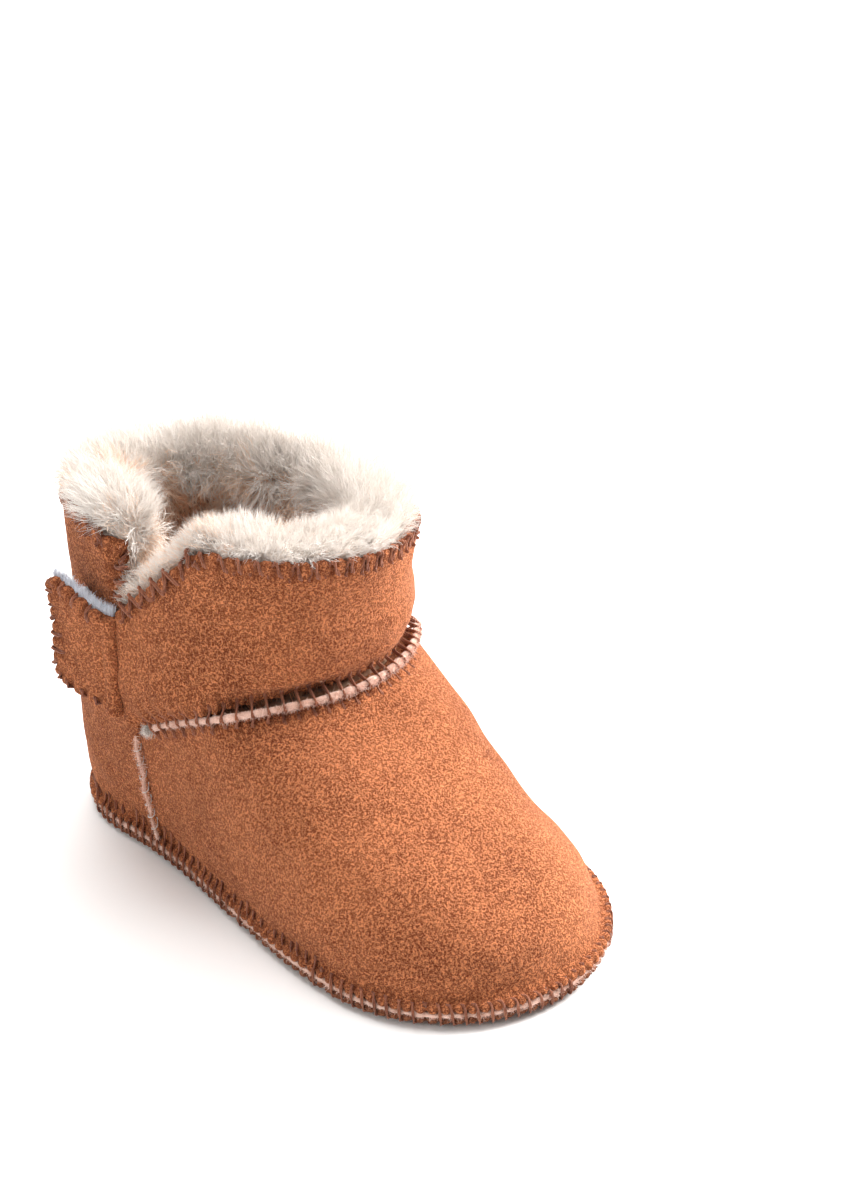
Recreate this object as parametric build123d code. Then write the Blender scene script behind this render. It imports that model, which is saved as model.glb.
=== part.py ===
from build123d import *
import os
from math import asin, cos, hypot, pi, sin

# A baby's sheepskin bootie, right foot, in millimetres. The toe points to -Y, the heel to +Y,
# the outer side of the foot is -X and the floor is z = 0.
os.makedirs("parts", exist_ok=True)

# ---- driving dimensions ----
LAST_LENGTH = 115.0       # toe to heel, over the leather at the seam with the sole
BALL_WIDTH = 57.0         # over the leather, at the ball of the foot
INSTEP_HEIGHT = 44.0      # floor to the bend between the instep and the shaft
COLLAR_HEIGHT = 67.5      # floor to the collar, at the middle of the opening
COLLAR_LEAN_X = -0.06     # slope of the collar across the foot
COLLAR_LEAN_Y = 0.04      # slope of the collar along the foot
LEATHER = 2.0             # sheepskin without its wool
FLEECE = 7.5              # wool inside the walls
FOOTBED = 6.0             # wool on the sole

SOLE_PAD = 0.8            # the part of the sole that lies on the floor
SOLE_SHEET = 1.4          # sole leather above it, out to the flange
FLANGE = 2.0              # how far the sole seam stands out
FLANGE_WOOL = 0.8         # wool squeezed between the sole and the lip of the upper
LIP = 1.2                 # edge of the upper that is turned out over the flange
PAD_INSET = 0.6           # the pad stops this far inside the leather

SEAM_Y = 23.5             # side seams, where the heel piece meets the vamp
ANKLE_FRONT_Z = 41.0      # ankle seam over the instep
ANKLE_DROP = 13.0         # how far it falls towards the side seams
ANKLE_START_Y = -12.0     # where it starts to fall
ANKLE_CURVE = 1.8         # 1 is a straight fall, more is a rounder one
RIDGE = 1.4               # thickness of the wool that stands out of the ankle seam
RIDGE_OUT = 2.4           # how far it stands out from the vamp
SIDE_RIDGE = 0.9          # width and height of the wool along a side seam

CUFF_GAP = 1.3            # the cuff band stands this far out from the heel piece
CUFF_OVERLAP = 5.0        # its inner end laps over the heel piece by this much
NOTCH_TOP_Y = 6.0         # where the band's top edge turns down towards the tab
NOTCH_LOW_Z = 52.5        # where that edge meets the tab
NOTCH_WOOL = 2.0          # how far the wool stands above that edge

HINGE_Y = 24.0            # crease that the tab swings on
TAB_LENGTH = 13.8         # along its lower edge
TAB_SLANT = 1.5           # its upper edge is this much shorter
TAB_LOW_Z = 33.0          # lower edge at the crease
TAB_END_LOW_Z = 37.2      # lower edge at the free end
TAB_HINGE_TOP_Z = 52.0    # upper edge at the crease
TAB_END_TOP_Z = 59.3      # upper edge at the free end
TAB_CORNER = 3.5
TAB_AJAR = 13.0           # degrees that the tab stands open
TAPE = 0.9                # thickness of the hook strip and of the loop strip
TAPE_MARGIN = 2.6         # from the tab's edges to the hook strip
TAPE_STITCH = 0.3         # depth of the stitches sunk into the strips
CLEAR = 0.35              # between the closed tab and what lies under it

THREAD = 0.5
THREAD_WIDTH = 1.3
SLACK = 0.12              # between a stitch and the leather that it goes round
BEND_SLACK = 0.25         # more of it where the edge bends away from a straight stitch
SKEW_SLACK = 0.5          # and where the end of the leather is cut askew to its face
PITCH_SOLE = 2.2
PITCH_SEAM = 2.9
PITCH_COLLAR = 3.0
BITE = 2.6                # how far a stitch reaches in from its edge
BITE_TAB = 2.0
BITE_SOLE = FLANGE - 0.9
BITE_ANKLE = 1.0

SOLE_TOP = SOLE_PAD + SOLE_SHEET
LIP_LOW = SOLE_TOP + FLANGE_WOOL
LIP_TOP = LIP_LOW + LIP
CUFF_OUT = CUFF_GAP + LEATHER
CUFF_LIFT = RIDGE / 2 + THREAD + 4 * SLACK    # the band's lower edge, above the middle of the ankle seam
TAB_IN = TAPE + CLEAR + TAPE
TAB_MID = TAB_IN + LEATHER / 2
WOOL_IN = -(LEATHER + FLEECE)

# ---- the last: cross-sections at rising heights ----
# Heights run 0 to 1 from the floor to the bend of the instep and 1 to 2 from there to the collar.
# The places along the foot are shares of LAST_LENGTH, the widths are shares of BALL_WIDTH.
#          height  toe    ball   ball_x  ball_w  heel   heel_x  heel_w  back
STATIONS = [
    (0.05, -0.510, -0.279, -0.045, 0.468, 0.290, 0.000, 0.325, 0.474),
    (0.18, -0.506, -0.257, -0.052, 0.479, 0.290, 0.000, 0.350, 0.483),
    (0.30, -0.476, -0.222, -0.065, 0.461, 0.287, 0.000, 0.368, 0.487),
    (0.45, -0.390, -0.169, -0.062, 0.434, 0.280, 0.000, 0.386, 0.483),
    (0.61, -0.277, -0.098, -0.033, 0.425, 0.270, 0.000, 0.404, 0.478),
    (0.75, -0.193, -0.003, -0.003, 0.435, 0.260, 0.000, 0.420, 0.470),
    (0.88, -0.108, 0.085, 0.010, 0.440, 0.245, 0.000, 0.430, 0.461),
    (1.00, -0.070, 0.150, 0.015, 0.435, 0.235, 0.000, 0.435, 0.457),
    (1.50, -0.080, 0.170, 0.015, 0.430, 0.235, -0.015, 0.435, 0.455),
    (2.00, -0.095, 0.180, 0.030, 0.425, 0.235, -0.030, 0.430, 0.452),
    (2.30, -0.100, 0.180, 0.036, 0.425, 0.235, -0.036, 0.430, 0.452),
]
HEIGHTS = [row[0] for row in STATIONS]


def column(index):
    return [row[index] for row in STATIONS]


def smooth(values, height):
    """A monotone cubic through the stations, read at one height."""
    height = min(max(height, HEIGHTS[0]), HEIGHTS[-1])
    slopes = [(values[i + 1] - values[i]) / (HEIGHTS[i + 1] - HEIGHTS[i]) for i in range(len(values) - 1)]

    def tangent(i):
        if i == 0 or i == len(values) - 1:
            return slopes[max(i - 1, 0)]
        before, after = slopes[i - 1], slopes[i]
        return 2 * before * after / (before + after) if before * after > 0 else 0.0

    i = max(k for k in range(len(values) - 1) if HEIGHTS[k] <= height)
    step = HEIGHTS[i + 1] - HEIGHTS[i]
    s = (height - HEIGHTS[i]) / step
    rise = s * s * (3 - 2 * s)
    return (
        values[i] * (1 - rise)
        + values[i + 1] * rise
        + step * tangent(i) * s * (1 - s) ** 2
        - step * tangent(i + 1) * s * s * (1 - s)
    )


def height_of(z):
    if z <= INSTEP_HEIGHT:
        return z / INSTEP_HEIGHT
    return 1 + (z - INSTEP_HEIGHT) / (COLLAR_HEIGHT - INSTEP_HEIGHT)


def toe_at(z):
    return LAST_LENGTH * smooth(column(1), height_of(z))


def front_level(z, grow):
    """The height on the leather whose normal, grow long, ends at z. The toe's top slopes."""
    level = z
    for _ in range(12):
        slope = toe_at(level + 0.5) - toe_at(level - 0.5)
        level += 0.5 * (z - grow * slope / hypot(1, slope) - level)
    return level


def section(z, grow):
    """toe, ball, ball_x, ball_w, heel, heel_x, heel_w, back at one height, grow outside the leather."""
    level = front_level(z, grow)
    slope = toe_at(level + 0.5) - toe_at(level - 0.5)
    front = height_of(level)
    rear = height_of(z)
    return (
        toe_at(level) - grow / hypot(1, slope),
        LAST_LENGTH * smooth(column(2), front),
        BALL_WIDTH * smooth(column(3), front),
        BALL_WIDTH * smooth(column(4), front) + grow,
        LAST_LENGTH * smooth(column(5), rear),
        BALL_WIDTH * smooth(column(6), rear),
        BALL_WIDTH * smooth(column(7), rear) + grow,
        LAST_LENGTH * smooth(column(8), rear) + grow,
    )


def outline(turn, z, grow=0.0):
    """A point of the closed outline. A turn of 0 to 1 goes from the outer ball past the toe,
    up the inner side, round the heel and back along the outer side."""
    toe, ball, ball_x, ball_w, heel, heel_x, heel_w, back = section(z, grow)
    quarter = int(turn * 4) % 4
    s = turn * 4 % 1
    if quarter == 0:
        return Vector(ball_x - ball_w * cos(pi * s), ball - (ball - toe) * sin(pi * s), z)
    if quarter == 2:
        return Vector(heel_x + heel_w * cos(pi * s), heel + (back - heel) * sin(pi * s), z)
    if quarter == 3:
        s = 1 - s
    side = 1 if quarter == 1 else -1
    ease = s * s * (3 - 2 * s)
    x = (ball_x + side * ball_w) * (1 - ease) + (heel_x + side * heel_w) * ease
    return Vector(x, ball + (heel - ball) * s, z)


def outward(turn, z, grow=0.0):
    """The level direction that points away from the outline."""
    along = outline((turn + 0.002) % 1, z, grow) - outline((turn - 0.002) % 1, z, grow)
    return Vector(along.Y, -along.X, 0).normalized()


OUTLINE_POINTS = 32
SECTIONS = 18
LOFT_TOP = COLLAR_HEIGHT + 6


def loft_of(grow):
    """The closed body inside the outlines, from the top of the sole to above the collar."""
    wires = []
    for i in range(SECTIONS):
        z = SOLE_TOP + (LOFT_TOP - SOLE_TOP) * i / (SECTIONS - 1)
        points = [outline(k / OUTLINE_POINTS, z, grow) for k in range(OUTLINE_POINTS)]
        knots = [k / OUTLINE_POINTS for k in range(OUTLINE_POINTS + 1)]
        wires.append(Wire([Edge.make_spline(points, periodic=True, parameters=knots)]))
    return Solid.make_loft(wires)


LOFTS = {}


def body(grow):
    if grow not in LOFTS:
        LOFTS[grow] = loft_of(grow)
    return LOFTS[grow]


def wall(inner, outer, region):
    """The layer between two offsets of the leather, inside a region."""
    return (body(outer) & region) - (body(inner) & region)


# ---- regions that the walls are cut with ----
REACH = 2 * LAST_LENGTH
UNDER = -20               # a height well below the floor


def block(x0, x1, y0, y1, z0, z1):
    return Pos((x0 + x1) / 2, (y0 + y1) / 2, (z0 + z1) / 2) * Box(x1 - x0, y1 - y0, z1 - z0)


def slab_z(low, high):
    return block(-REACH, REACH, -REACH, REACH, low, high)


def ankle_z(y):
    """Height of the ankle seam, which is level over the instep and falls towards the side seams."""
    s = min(max((y - ANKLE_START_Y) / (SEAM_Y - ANKLE_START_Y), 0), 1)
    return ANKLE_FRONT_Z - ANKLE_DROP * s**ANKLE_CURVE


def under_ankle(lift):
    """Everything below the ankle seam, moved up by lift."""
    steps = 8
    ys = [ANKLE_START_Y + i * (SEAM_Y - ANKLE_START_Y) / steps for i in range(steps + 1)]
    fall = ANKLE_DROP * ANKLE_CURVE / (SEAM_Y - ANKLE_START_Y)
    crest = Spline([(y, ankle_z(y) + lift) for y in ys], tangents=[(1, 0), (1, -fall)])
    start, end = crest @ 0, crest @ 1
    beyond = SEAM_Y + 3 * CUFF_OVERLAP
    corners = [(end.X, end.Y), (beyond, end.Y), (beyond, UNDER), (-REACH, UNDER), (-REACH, start.Y)]
    rest = Polyline(corners + [(start.X, start.Y)])
    face = make_face(Plane.YZ * (Curve() + [crest, rest]))
    return extrude(face, REACH, dir=(1, 0, 0), both=True)


FRONT = block(-REACH, REACH, -REACH, SEAM_Y, UNDER, REACH)
REAR = block(-REACH, REACH, SEAM_Y, REACH, UNDER, REACH)
INNER_SIDE = block(0, REACH, -REACH, REACH, UNDER, REACH)
OUTER_SIDE = block(-REACH, 0, -REACH, REACH, UNDER, REACH)
MIDDLE_Y = (toe_at(COLLAR_HEIGHT) + LAST_LENGTH * STATIONS[-2][8]) / 2


def collar_z(x, y):
    return COLLAR_HEIGHT + COLLAR_LEAN_X * x + COLLAR_LEAN_Y * (y - MIDDLE_Y)


COLLAR_PLANE = Plane(
    origin=(0, MIDDLE_Y, COLLAR_HEIGHT), x_dir=(1, 0, COLLAR_LEAN_X), z_dir=(-COLLAR_LEAN_X, -COLLAR_LEAN_Y, 1)
)
UNDER_COLLAR = COLLAR_PLANE * Pos(0, 0, -REACH / 2) * Box(REACH, REACH, REACH)


def notch(lift):
    """The outer corner of the cuff band, cut off along a slope that ends at the tab."""
    top = collar_z(-BALL_WIDTH / 2, NOTCH_TOP_Y)
    slope = (top - NOTCH_LOW_Z) / (HINGE_Y - NOTCH_TOP_Y)
    points = [
        (NOTCH_TOP_Y - 20 / slope, top + 20 + lift),
        (HINGE_Y + 10, NOTCH_LOW_Z - 10 * slope + lift),
        (HINGE_Y + 10, top + 20 + lift),
    ]
    face = make_face(Plane.YZ * Polyline(points, close=True))
    return extrude(face, REACH, dir=(-1, 0, 0))


# ---- stitches ----
def staple(edge, bite=BITE, inner_leg=True):
    """One overlock stitch round an edge that is `edge` thick. Local x points out of the edge,
    y runs along it and z is across its thickness. The edge itself is at x = 0. Without its inner
    leg, which would lie in the wool, the stitch ends at the middle of the edge."""
    half = edge / 2 + SLACK
    top, bottom = half + THREAD, -half - THREAD if inner_leg else 0
    cap = Pos(SLACK + THREAD / 2, 0, (top + bottom) / 2) * Box(THREAD, THREAD_WIDTH, top - bottom)
    leg = Pos((SLACK - bite) / 2, 0, half + THREAD / 2) * Box(bite + SLACK, THREAD_WIDTH, THREAD)
    stitch = cap + leg
    if inner_leg:
        stitch += Pos(0, 0, -2 * half - THREAD) * leg
    return stitch.solid()


def run(points, pitch):
    """Places at equal steps along a fine list of points, with half a step free at both ends."""
    lengths = [0.0]
    for a, b in zip(points, points[1:]):
        lengths.append(lengths[-1] + (b - a).length)
    count = max(int(lengths[-1] / pitch), 1)
    places = []
    for k in range(count):
        goal = (k + 0.5) * lengths[-1] / count
        i = max(j for j in range(len(points) - 1) if lengths[j] <= goal)
        share = (goal - lengths[i]) / (lengths[i + 1] - lengths[i])
        places.append((points[i] + (points[i + 1] - points[i]) * share, (points[i + 1] - points[i]).normalized()))
    return places


def sew(stitch, frames):
    """One copy of the stitch at each (origin, out, across)."""
    return Compound([Plane(origin=o, x_dir=out, z_dir=across).location * stitch for o, out, across in frames])


def square_to(direction, along):
    """The part of a direction that is square to the run."""
    return (direction - along * direction.dot(along)).normalized()


def turn_at(y, side):
    """The turn at which the outline passes y, on the outer (-1) or the inner (1) side, at SEAM_Y's height."""
    low, high = (0.26, 0.74) if side > 0 else (0.76, 1.24)
    for _ in range(40):
        middle = (low + high) / 2
        goes_back = outline(middle % 1, ANKLE_FRONT_Z).Y < y
        if goes_back == (side > 0):
            low = middle
        else:
            high = middle
    return low


# ---- the sole and its seam ----
def plate(grow, low, high):
    """A flat layer with the outline that the upper has where it meets the sole."""
    points = [outline(k / OUTLINE_POINTS, SOLE_TOP, grow) for k in range(OUTLINE_POINTS)]
    flat = [Vector(p.X, p.Y, low) for p in points]
    return extrude(Face(Wire([Edge.make_spline(flat, periodic=True)])), high - low, dir=(0, 0, 1))


def sole():
    return plate(-PAD_INSET, 0, SOLE_PAD) + plate(FLANGE, SOLE_PAD, SOLE_TOP)


def sole_fleece():
    return body(WOOL_IN) & slab_z(SOLE_TOP, SOLE_TOP + FOOTBED)


def sole_seam_fleece():
    return plate(FLANGE - 0.3, SOLE_TOP, LIP_LOW) - body(0)


def sole_seam_stitching():
    middle = (SOLE_PAD + LIP_TOP) / 2
    fine = [outline(k / 400 % 1, SOLE_TOP, FLANGE) for k in range(401)]
    frames = []
    for place, along in run([Vector(p.X, p.Y, middle) for p in fine], PITCH_SOLE):
        frames.append((place, Vector(along.Y, -along.X, 0), Vector(0, 0, 1)))
    return sew(staple(LIP_TOP - SOLE_PAD, bite=BITE_SOLE), frames)


# ---- the upper's leather ----
def shell_with_lip(region):
    lip = (plate(FLANGE, LIP_LOW, LIP_TOP) & region) - body(-LEATHER / 2)
    return wall(-LEATHER, 0, region) + lip


def vamp_shell():
    return shell_with_lip(FRONT & under_ankle(-RIDGE / 2))


def heel_shell():
    return shell_with_lip(REAR & UNDER_COLLAR)


def cuff_region(low_lift, notch_lift):
    return (UNDER_COLLAR - under_ankle(low_lift)) - notch(notch_lift)


def cuff_band():
    inner_end = block(0, REACH, -REACH, SEAM_Y + CUFF_OVERLAP, UNDER, REACH)
    outer_end = block(-REACH, 0, -REACH, HINGE_Y - LEATHER / 2 - CLEAR, UNDER, REACH)
    return wall(CUFF_GAP, CUFF_OUT, (inner_end + outer_end) & cuff_region(CUFF_LIFT, 0))


# ---- the wool ----
def vamp_fleece():
    return wall(WOOL_IN, -LEATHER, FRONT & under_ankle(0))


def heel_fleece():
    return wall(WOOL_IN, -LEATHER, REAR & UNDER_COLLAR)


def cuff_fleece():
    lining = wall(WOOL_IN, -LEATHER, FRONT & cuff_region(0, NOTCH_WOOL))
    up_to_tab = block(-REACH, 0, -REACH, HINGE_Y - LEATHER, UNDER, REACH) + (FRONT & INNER_SIDE)
    backing = wall(-LEATHER, CUFF_GAP, up_to_tab & cuff_region(CUFF_LIFT, NOTCH_WOOL))
    lap = block(0, REACH, SEAM_Y, SEAM_Y + CUFF_OVERLAP, UNDER, REACH)
    return lining + backing + wall(0, CUFF_GAP, lap & cuff_region(CUFF_LIFT, 0))


# ---- the ankle seam ----
def ankle_seam_fleece():
    return wall(-LEATHER, RIDGE_OUT, FRONT & (under_ankle(RIDGE / 2) - under_ankle(-RIDGE / 2)))


def ankle_path(grow):
    """The line of the ankle seam on the leather, from the outer side seam to the inner one."""
    first = turn_at(SEAM_Y, -1) - 1
    last = turn_at(SEAM_Y, 1)
    points = []
    for k in range(161):
        turn = (first + (last - first) * k / 160) % 1
        z = ANKLE_FRONT_Z
        for _ in range(8):
            z = ankle_z(outline(turn, z, grow).Y)
        points.append(outline(turn, z, grow))
    return points


def ankle_seam_stitching():
    frames = []
    for place, along in run(ankle_path(RIDGE_OUT + BEND_SLACK), PITCH_SEAM):
        fall = ankle_z(place.Y + 0.5) - ankle_z(place.Y - 0.5)
        across = square_to(Vector(0, -fall, 1), along)
        frames.append((place, along.cross(across), across))
    return sew(staple(RIDGE, bite=BITE_ANKLE), frames)


# ---- the side seams ----
SIDE_TOP_Z = ankle_z(SEAM_Y) - RIDGE / 2 - 0.3


def side_seam_fleece(side):
    half = OUTER_SIDE if side < 0 else INNER_SIDE
    low = LIP_TOP + THREAD + 2 * SLACK
    strip = block(-REACH, REACH, SEAM_Y - SIDE_RIDGE / 2, SEAM_Y + SIDE_RIDGE / 2, low, SIDE_TOP_Z)
    return wall(0, SIDE_RIDGE, half & strip)


def side_wall(y, z, grow, side):
    """The point of a side wall at a given y and z."""
    toe, ball, ball_x, ball_w, heel, heel_x, heel_w, back = section(z, grow)
    if y > heel:
        return Vector(heel_x + side * heel_w * cos(asin((y - heel) / (back - heel))), y, z)
    if y < ball:
        return Vector(ball_x + side * ball_w * cos(asin((ball - y) / (ball - toe))), y, z)
    s = (y - ball) / (heel - ball)
    ease = s * s * (3 - 2 * s)
    return Vector((ball_x + side * ball_w) * (1 - ease) + (heel_x + side * heel_w) * ease, y, z)


def side_normal(y, z, side):
    along = side_wall(y + 0.3, z, 0, side) - side_wall(y - 0.3, z, 0, side)
    return Vector(along.Y, -along.X, 0).normalized() * side


def side_seam_stitching(side):
    steps = 30
    zs = [LIP_TOP + 1 + (SIDE_TOP_Z - 2 - LIP_TOP) * k / steps for k in range(steps + 1)]
    frames = []
    for place, along in run([side_wall(SEAM_Y, z, SIDE_RIDGE, side) for z in zs], PITCH_SEAM):
        out = square_to(side_normal(SEAM_Y, place.Z, side), along)
        frames.append((place, out, along.cross(out)))
    return sew(staple(SIDE_RIDGE, bite=SIDE_RIDGE - SLACK), frames)


# ---- overlock along the collar ----
COLLAR_STAPLE = staple(LEATHER + 2 * BEND_SLACK, inner_leg=False)


def collar_path(grow, first, last):
    points = []
    for k in range(121):
        turn = (first + (last - first) * k / 120) % 1
        z = COLLAR_HEIGHT
        for _ in range(6):
            at = outline(turn, z, grow)
            z = collar_z(at.X, at.Y)
        points.append(outline(turn, z, grow))
    return points


def heel_edge_stitching():
    first = turn_at(SEAM_Y + CUFF_OVERLAP + 1, 1)
    last = turn_at(SEAM_Y + 1, -1)
    frames = []
    for place, along in run(collar_path(-LEATHER / 2, first, last), PITCH_COLLAR):
        frames.append((place, square_to(Vector(0, 0, 1), along), Vector(along.Y, -along.X, 0).normalized()))
    top = sew(COLLAR_STAPLE, frames)
    down = []
    low = TAB_HINGE_TOP_Z + 2
    high = collar_z(-BALL_WIDTH / 2, SEAM_Y) - 1.5
    steps = 20
    edge = [side_wall(SEAM_Y, low + (high - low) * k / steps, -LEATHER / 2, -1) for k in range(steps + 1)]
    for place, along in run(edge, PITCH_COLLAR):
        across = side_normal(SEAM_Y, place.Z, -1)
        out = square_to(Vector(0, -1, 0), across)
        down.append((place + out * SKEW_SLACK, out, across))
    return Compound(list(top.solids()) + list(sew(COLLAR_STAPLE, down).solids()))


def cuff_edge_stitching():
    middle = CUFF_GAP + LEATHER / 2
    first = turn_at(NOTCH_TOP_Y, -1) - 1
    last = turn_at(SEAM_Y + CUFF_OVERLAP, 1)
    frames = []
    for place, along in run(collar_path(middle, first, last), PITCH_COLLAR):
        frames.append((place, square_to(Vector(0, 0, 1), along), Vector(along.Y, -along.X, 0).normalized()))
    top = sew(COLLAR_STAPLE, frames)
    slope_top = collar_z(-BALL_WIDTH / 2, NOTCH_TOP_Y)
    slope_end = HINGE_Y - LEATHER / 2 - CLEAR
    steps = 20
    points = []
    for k in range(steps + 1):
        y = NOTCH_TOP_Y + (slope_end - NOTCH_TOP_Y) * k / steps
        z = slope_top + (NOTCH_LOW_Z - slope_top) * (y - NOTCH_TOP_Y) / (HINGE_Y - NOTCH_TOP_Y)
        points.append(side_wall(y, z, middle, -1))
    down = []
    for place, along in run(points, PITCH_COLLAR):
        across = square_to(side_normal(place.Y, place.Z, -1), along)
        out = along.cross(across)
        down.append((place + out * BEND_SLACK, out, across))
    return Compound(list(top.solids()) + list(sew(COLLAR_STAPLE, down).solids()))


def cuff_end_stitching():
    """Stitches down the inner end of the cuff band, which hold it on the heel piece."""
    y = SEAM_Y + CUFF_OVERLAP
    low = ankle_z(y) + CUFF_LIFT + 1.5
    high = collar_z(BALL_WIDTH / 2, y) - 3
    steps = 20
    edge = [side_wall(y, low + (high - low) * k / steps, CUFF_GAP + LEATHER / 2, 1) for k in range(steps + 1)]
    frames = []
    for place, along in run(edge, PITCH_COLLAR):
        across = side_normal(y, place.Z, 1)
        out = square_to(Vector(0, 1, 0), across)
        frames.append((place + out * SKEW_SLACK, out, across))
    return sew(COLLAR_STAPLE, frames)


# ---- the closure tab ----
HINGE_Z = (TAB_LOW_Z + TAB_HINGE_TOP_Z) / 2
HINGE_AT = side_wall(HINGE_Y, HINGE_Z, TAB_MID, -1)
TAB_END_Y = HINGE_Y + TAB_LENGTH


def opened(piece):
    """Swings a piece of the closed tab out to where it stands."""
    return Pos(HINGE_AT.X, HINGE_AT.Y, 0) * Rot(0, 0, TAB_AJAR) * Pos(-HINGE_AT.X, -HINGE_AT.Y, 0) * piece


def tab_face(inset, start):
    """The tab's outline seen from the side, inset from its free edges."""
    rise = (TAB_END_LOW_Z - TAB_LOW_Z) / TAB_LENGTH
    climb = (TAB_END_TOP_Z - TAB_HINGE_TOP_Z) / (TAB_LENGTH - TAB_SLANT)
    end = TAB_END_Y - inset
    low = TAB_LOW_Z + inset * hypot(1, rise)
    top = TAB_HINGE_TOP_Z - inset * hypot(1, climb)
    points = [
        (start, low + rise * (start - HINGE_Y)),
        (end, low + rise * (end - HINGE_Y)),
        (end - TAB_SLANT, top + climb * (end - TAB_SLANT - HINGE_Y)),
        (start, top + climb * (start - HINGE_Y)),
    ]
    low_corner = max(TAB_CORNER - inset, 1)
    corners = FilletPolyline(points, radius=[0, low_corner, low_corner / 2, 0], close=True)
    return make_face(Plane.YZ * corners)


def tab_piece(inner, outer, inset, start):
    return wall(inner, outer, extrude(tab_face(inset, start), REACH, dir=(-1, 0, 0)))


def closure_tab():
    leaf = tab_piece(TAB_IN, TAB_IN + LEATHER, 0, HINGE_Y)
    knuckle_height = TAB_HINGE_TOP_Z - TAB_LOW_Z
    knuckle = Pos(HINGE_AT.X, HINGE_AT.Y, HINGE_Z) * Cylinder(LEATHER / 2, knuckle_height)
    return opened(leaf + knuckle)


def hook_strip():
    return opened(tab_piece(TAB_IN - TAPE, TAB_IN, TAPE_MARGIN, HINGE_Y + TAPE_MARGIN))


def loop_strip():
    return tab_piece(0, TAPE, TAPE_MARGIN, HINGE_Y + TAPE_MARGIN)


def edge_of_tab(inset, grow, start):
    """Points down the tab's free edges: along the top to the end and back along the bottom."""
    outline_wire = tab_face(inset, start).face().outer_wire()
    points = []
    for k in range(161):
        at = outline_wire.position_at(k / 160)
        points.append(at)
    return [side_wall(p.Y, p.Z, grow, -1) for p in points if p.Y > start + 0.8]


def tab_frames(inset, grow, start, pitch):
    wire = edge_of_tab(inset, grow, start)
    middle = Vector(0, (HINGE_Y + TAB_END_Y) / 2, HINGE_Z)
    frames = []
    for place, along in run(wire, pitch):
        across = square_to(side_normal(place.Y, place.Z, -1), along)
        out = along.cross(across)
        if out.dot(place - Vector(place.X, middle.Y, middle.Z)) < 0:
            out = out * -1
        frames.append((place, out, across))
    return frames


def tab_edge_stitching():
    stitch = staple(LEATHER + 2 * BEND_SLACK, bite=BITE_TAB)
    frames = tab_frames(0, TAB_MID, HINGE_Y + 1, PITCH_COLLAR)
    return opened(sew(stitch, [(place + out * BEND_SLACK, out, across) for place, out, across in frames]))


def tape_stitching(grow, side):
    """Short stitches sunk flush into the rim of a strip; side is 1 on its outer face, -1 on its inner."""
    stitch = Box(0.5, 1.6, TAPE_STITCH)
    frames = []
    for place, out, across in tab_frames(TAPE_MARGIN + 1.2, grow, HINGE_Y + TAPE_MARGIN + 1.2, PITCH_SEAM):
        frames.append((place - across * side * TAPE_STITCH / 2, out, across))
    return sew(stitch, frames)


def hook_strip_stitching():
    return opened(tape_stitching(TAB_IN - TAPE, -1))


def loop_strip_stitching():
    return tape_stitching(TAPE, 1)


NODES = {
    "sole": sole,
    "sole_fleece": sole_fleece,
    "vamp_shell": vamp_shell,
    "vamp_fleece": vamp_fleece,
    "heel_shell": heel_shell,
    "heel_fleece": heel_fleece,
    "cuff_band": cuff_band,
    "cuff_fleece": cuff_fleece,
    "closure_tab": closure_tab,
    "hook_strip": hook_strip,
    "hook_strip_stitching": hook_strip_stitching,
    "loop_strip": loop_strip,
    "loop_strip_stitching": loop_strip_stitching,
    "tab_edge_stitching": tab_edge_stitching,
    "cuff_edge_stitching": cuff_edge_stitching,
    "cuff_end_stitching": cuff_end_stitching,
    "heel_edge_stitching": heel_edge_stitching,
    "ankle_seam_fleece": ankle_seam_fleece,
    "ankle_seam_stitching": ankle_seam_stitching,
    "side_seam_fleece_outer": lambda: side_seam_fleece(-1),
    "side_seam_fleece_inner": lambda: side_seam_fleece(1),
    "side_seam_stitching_outer": lambda: side_seam_stitching(-1),
    "side_seam_stitching_inner": lambda: side_seam_stitching(1),
    "sole_seam_fleece": sole_seam_fleece,
    "sole_seam_stitching": sole_seam_stitching,
}

for name, make in NODES.items():
    piece = make()
    export_step(piece, f"parts/{name}.step")
    print(f"{name}: {len(piece.solids())} solids, {piece.volume:.1f} mm3")
print(f"hinge at {HINGE_AT.X:.3f}, {HINGE_AT.Y:.3f}, {HINGE_Z:.3f}; collar middle y {MIDDLE_Y:.2f}")
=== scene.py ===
# %% [markdown]
# # A baby's sheepskin bootie
#
# The bootie is cut from four pieces of sheepskin: a sole, a vamp over the toes, a heel piece and a
# cuff band with a closure tab. The suede side is outside and the wool is inside. Every edge is
# overlocked with brown thread, and at the seams the wool is squeezed out between the leathers.
#
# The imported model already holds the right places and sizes, so the first step is to load it. All
# lengths below are in metres, and MM turns millimetres into them.

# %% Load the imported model
import math

import bmesh
import bpy
import numpy as np
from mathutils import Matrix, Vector, kdtree
from mathutils.bvhtree import BVHTree


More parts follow.
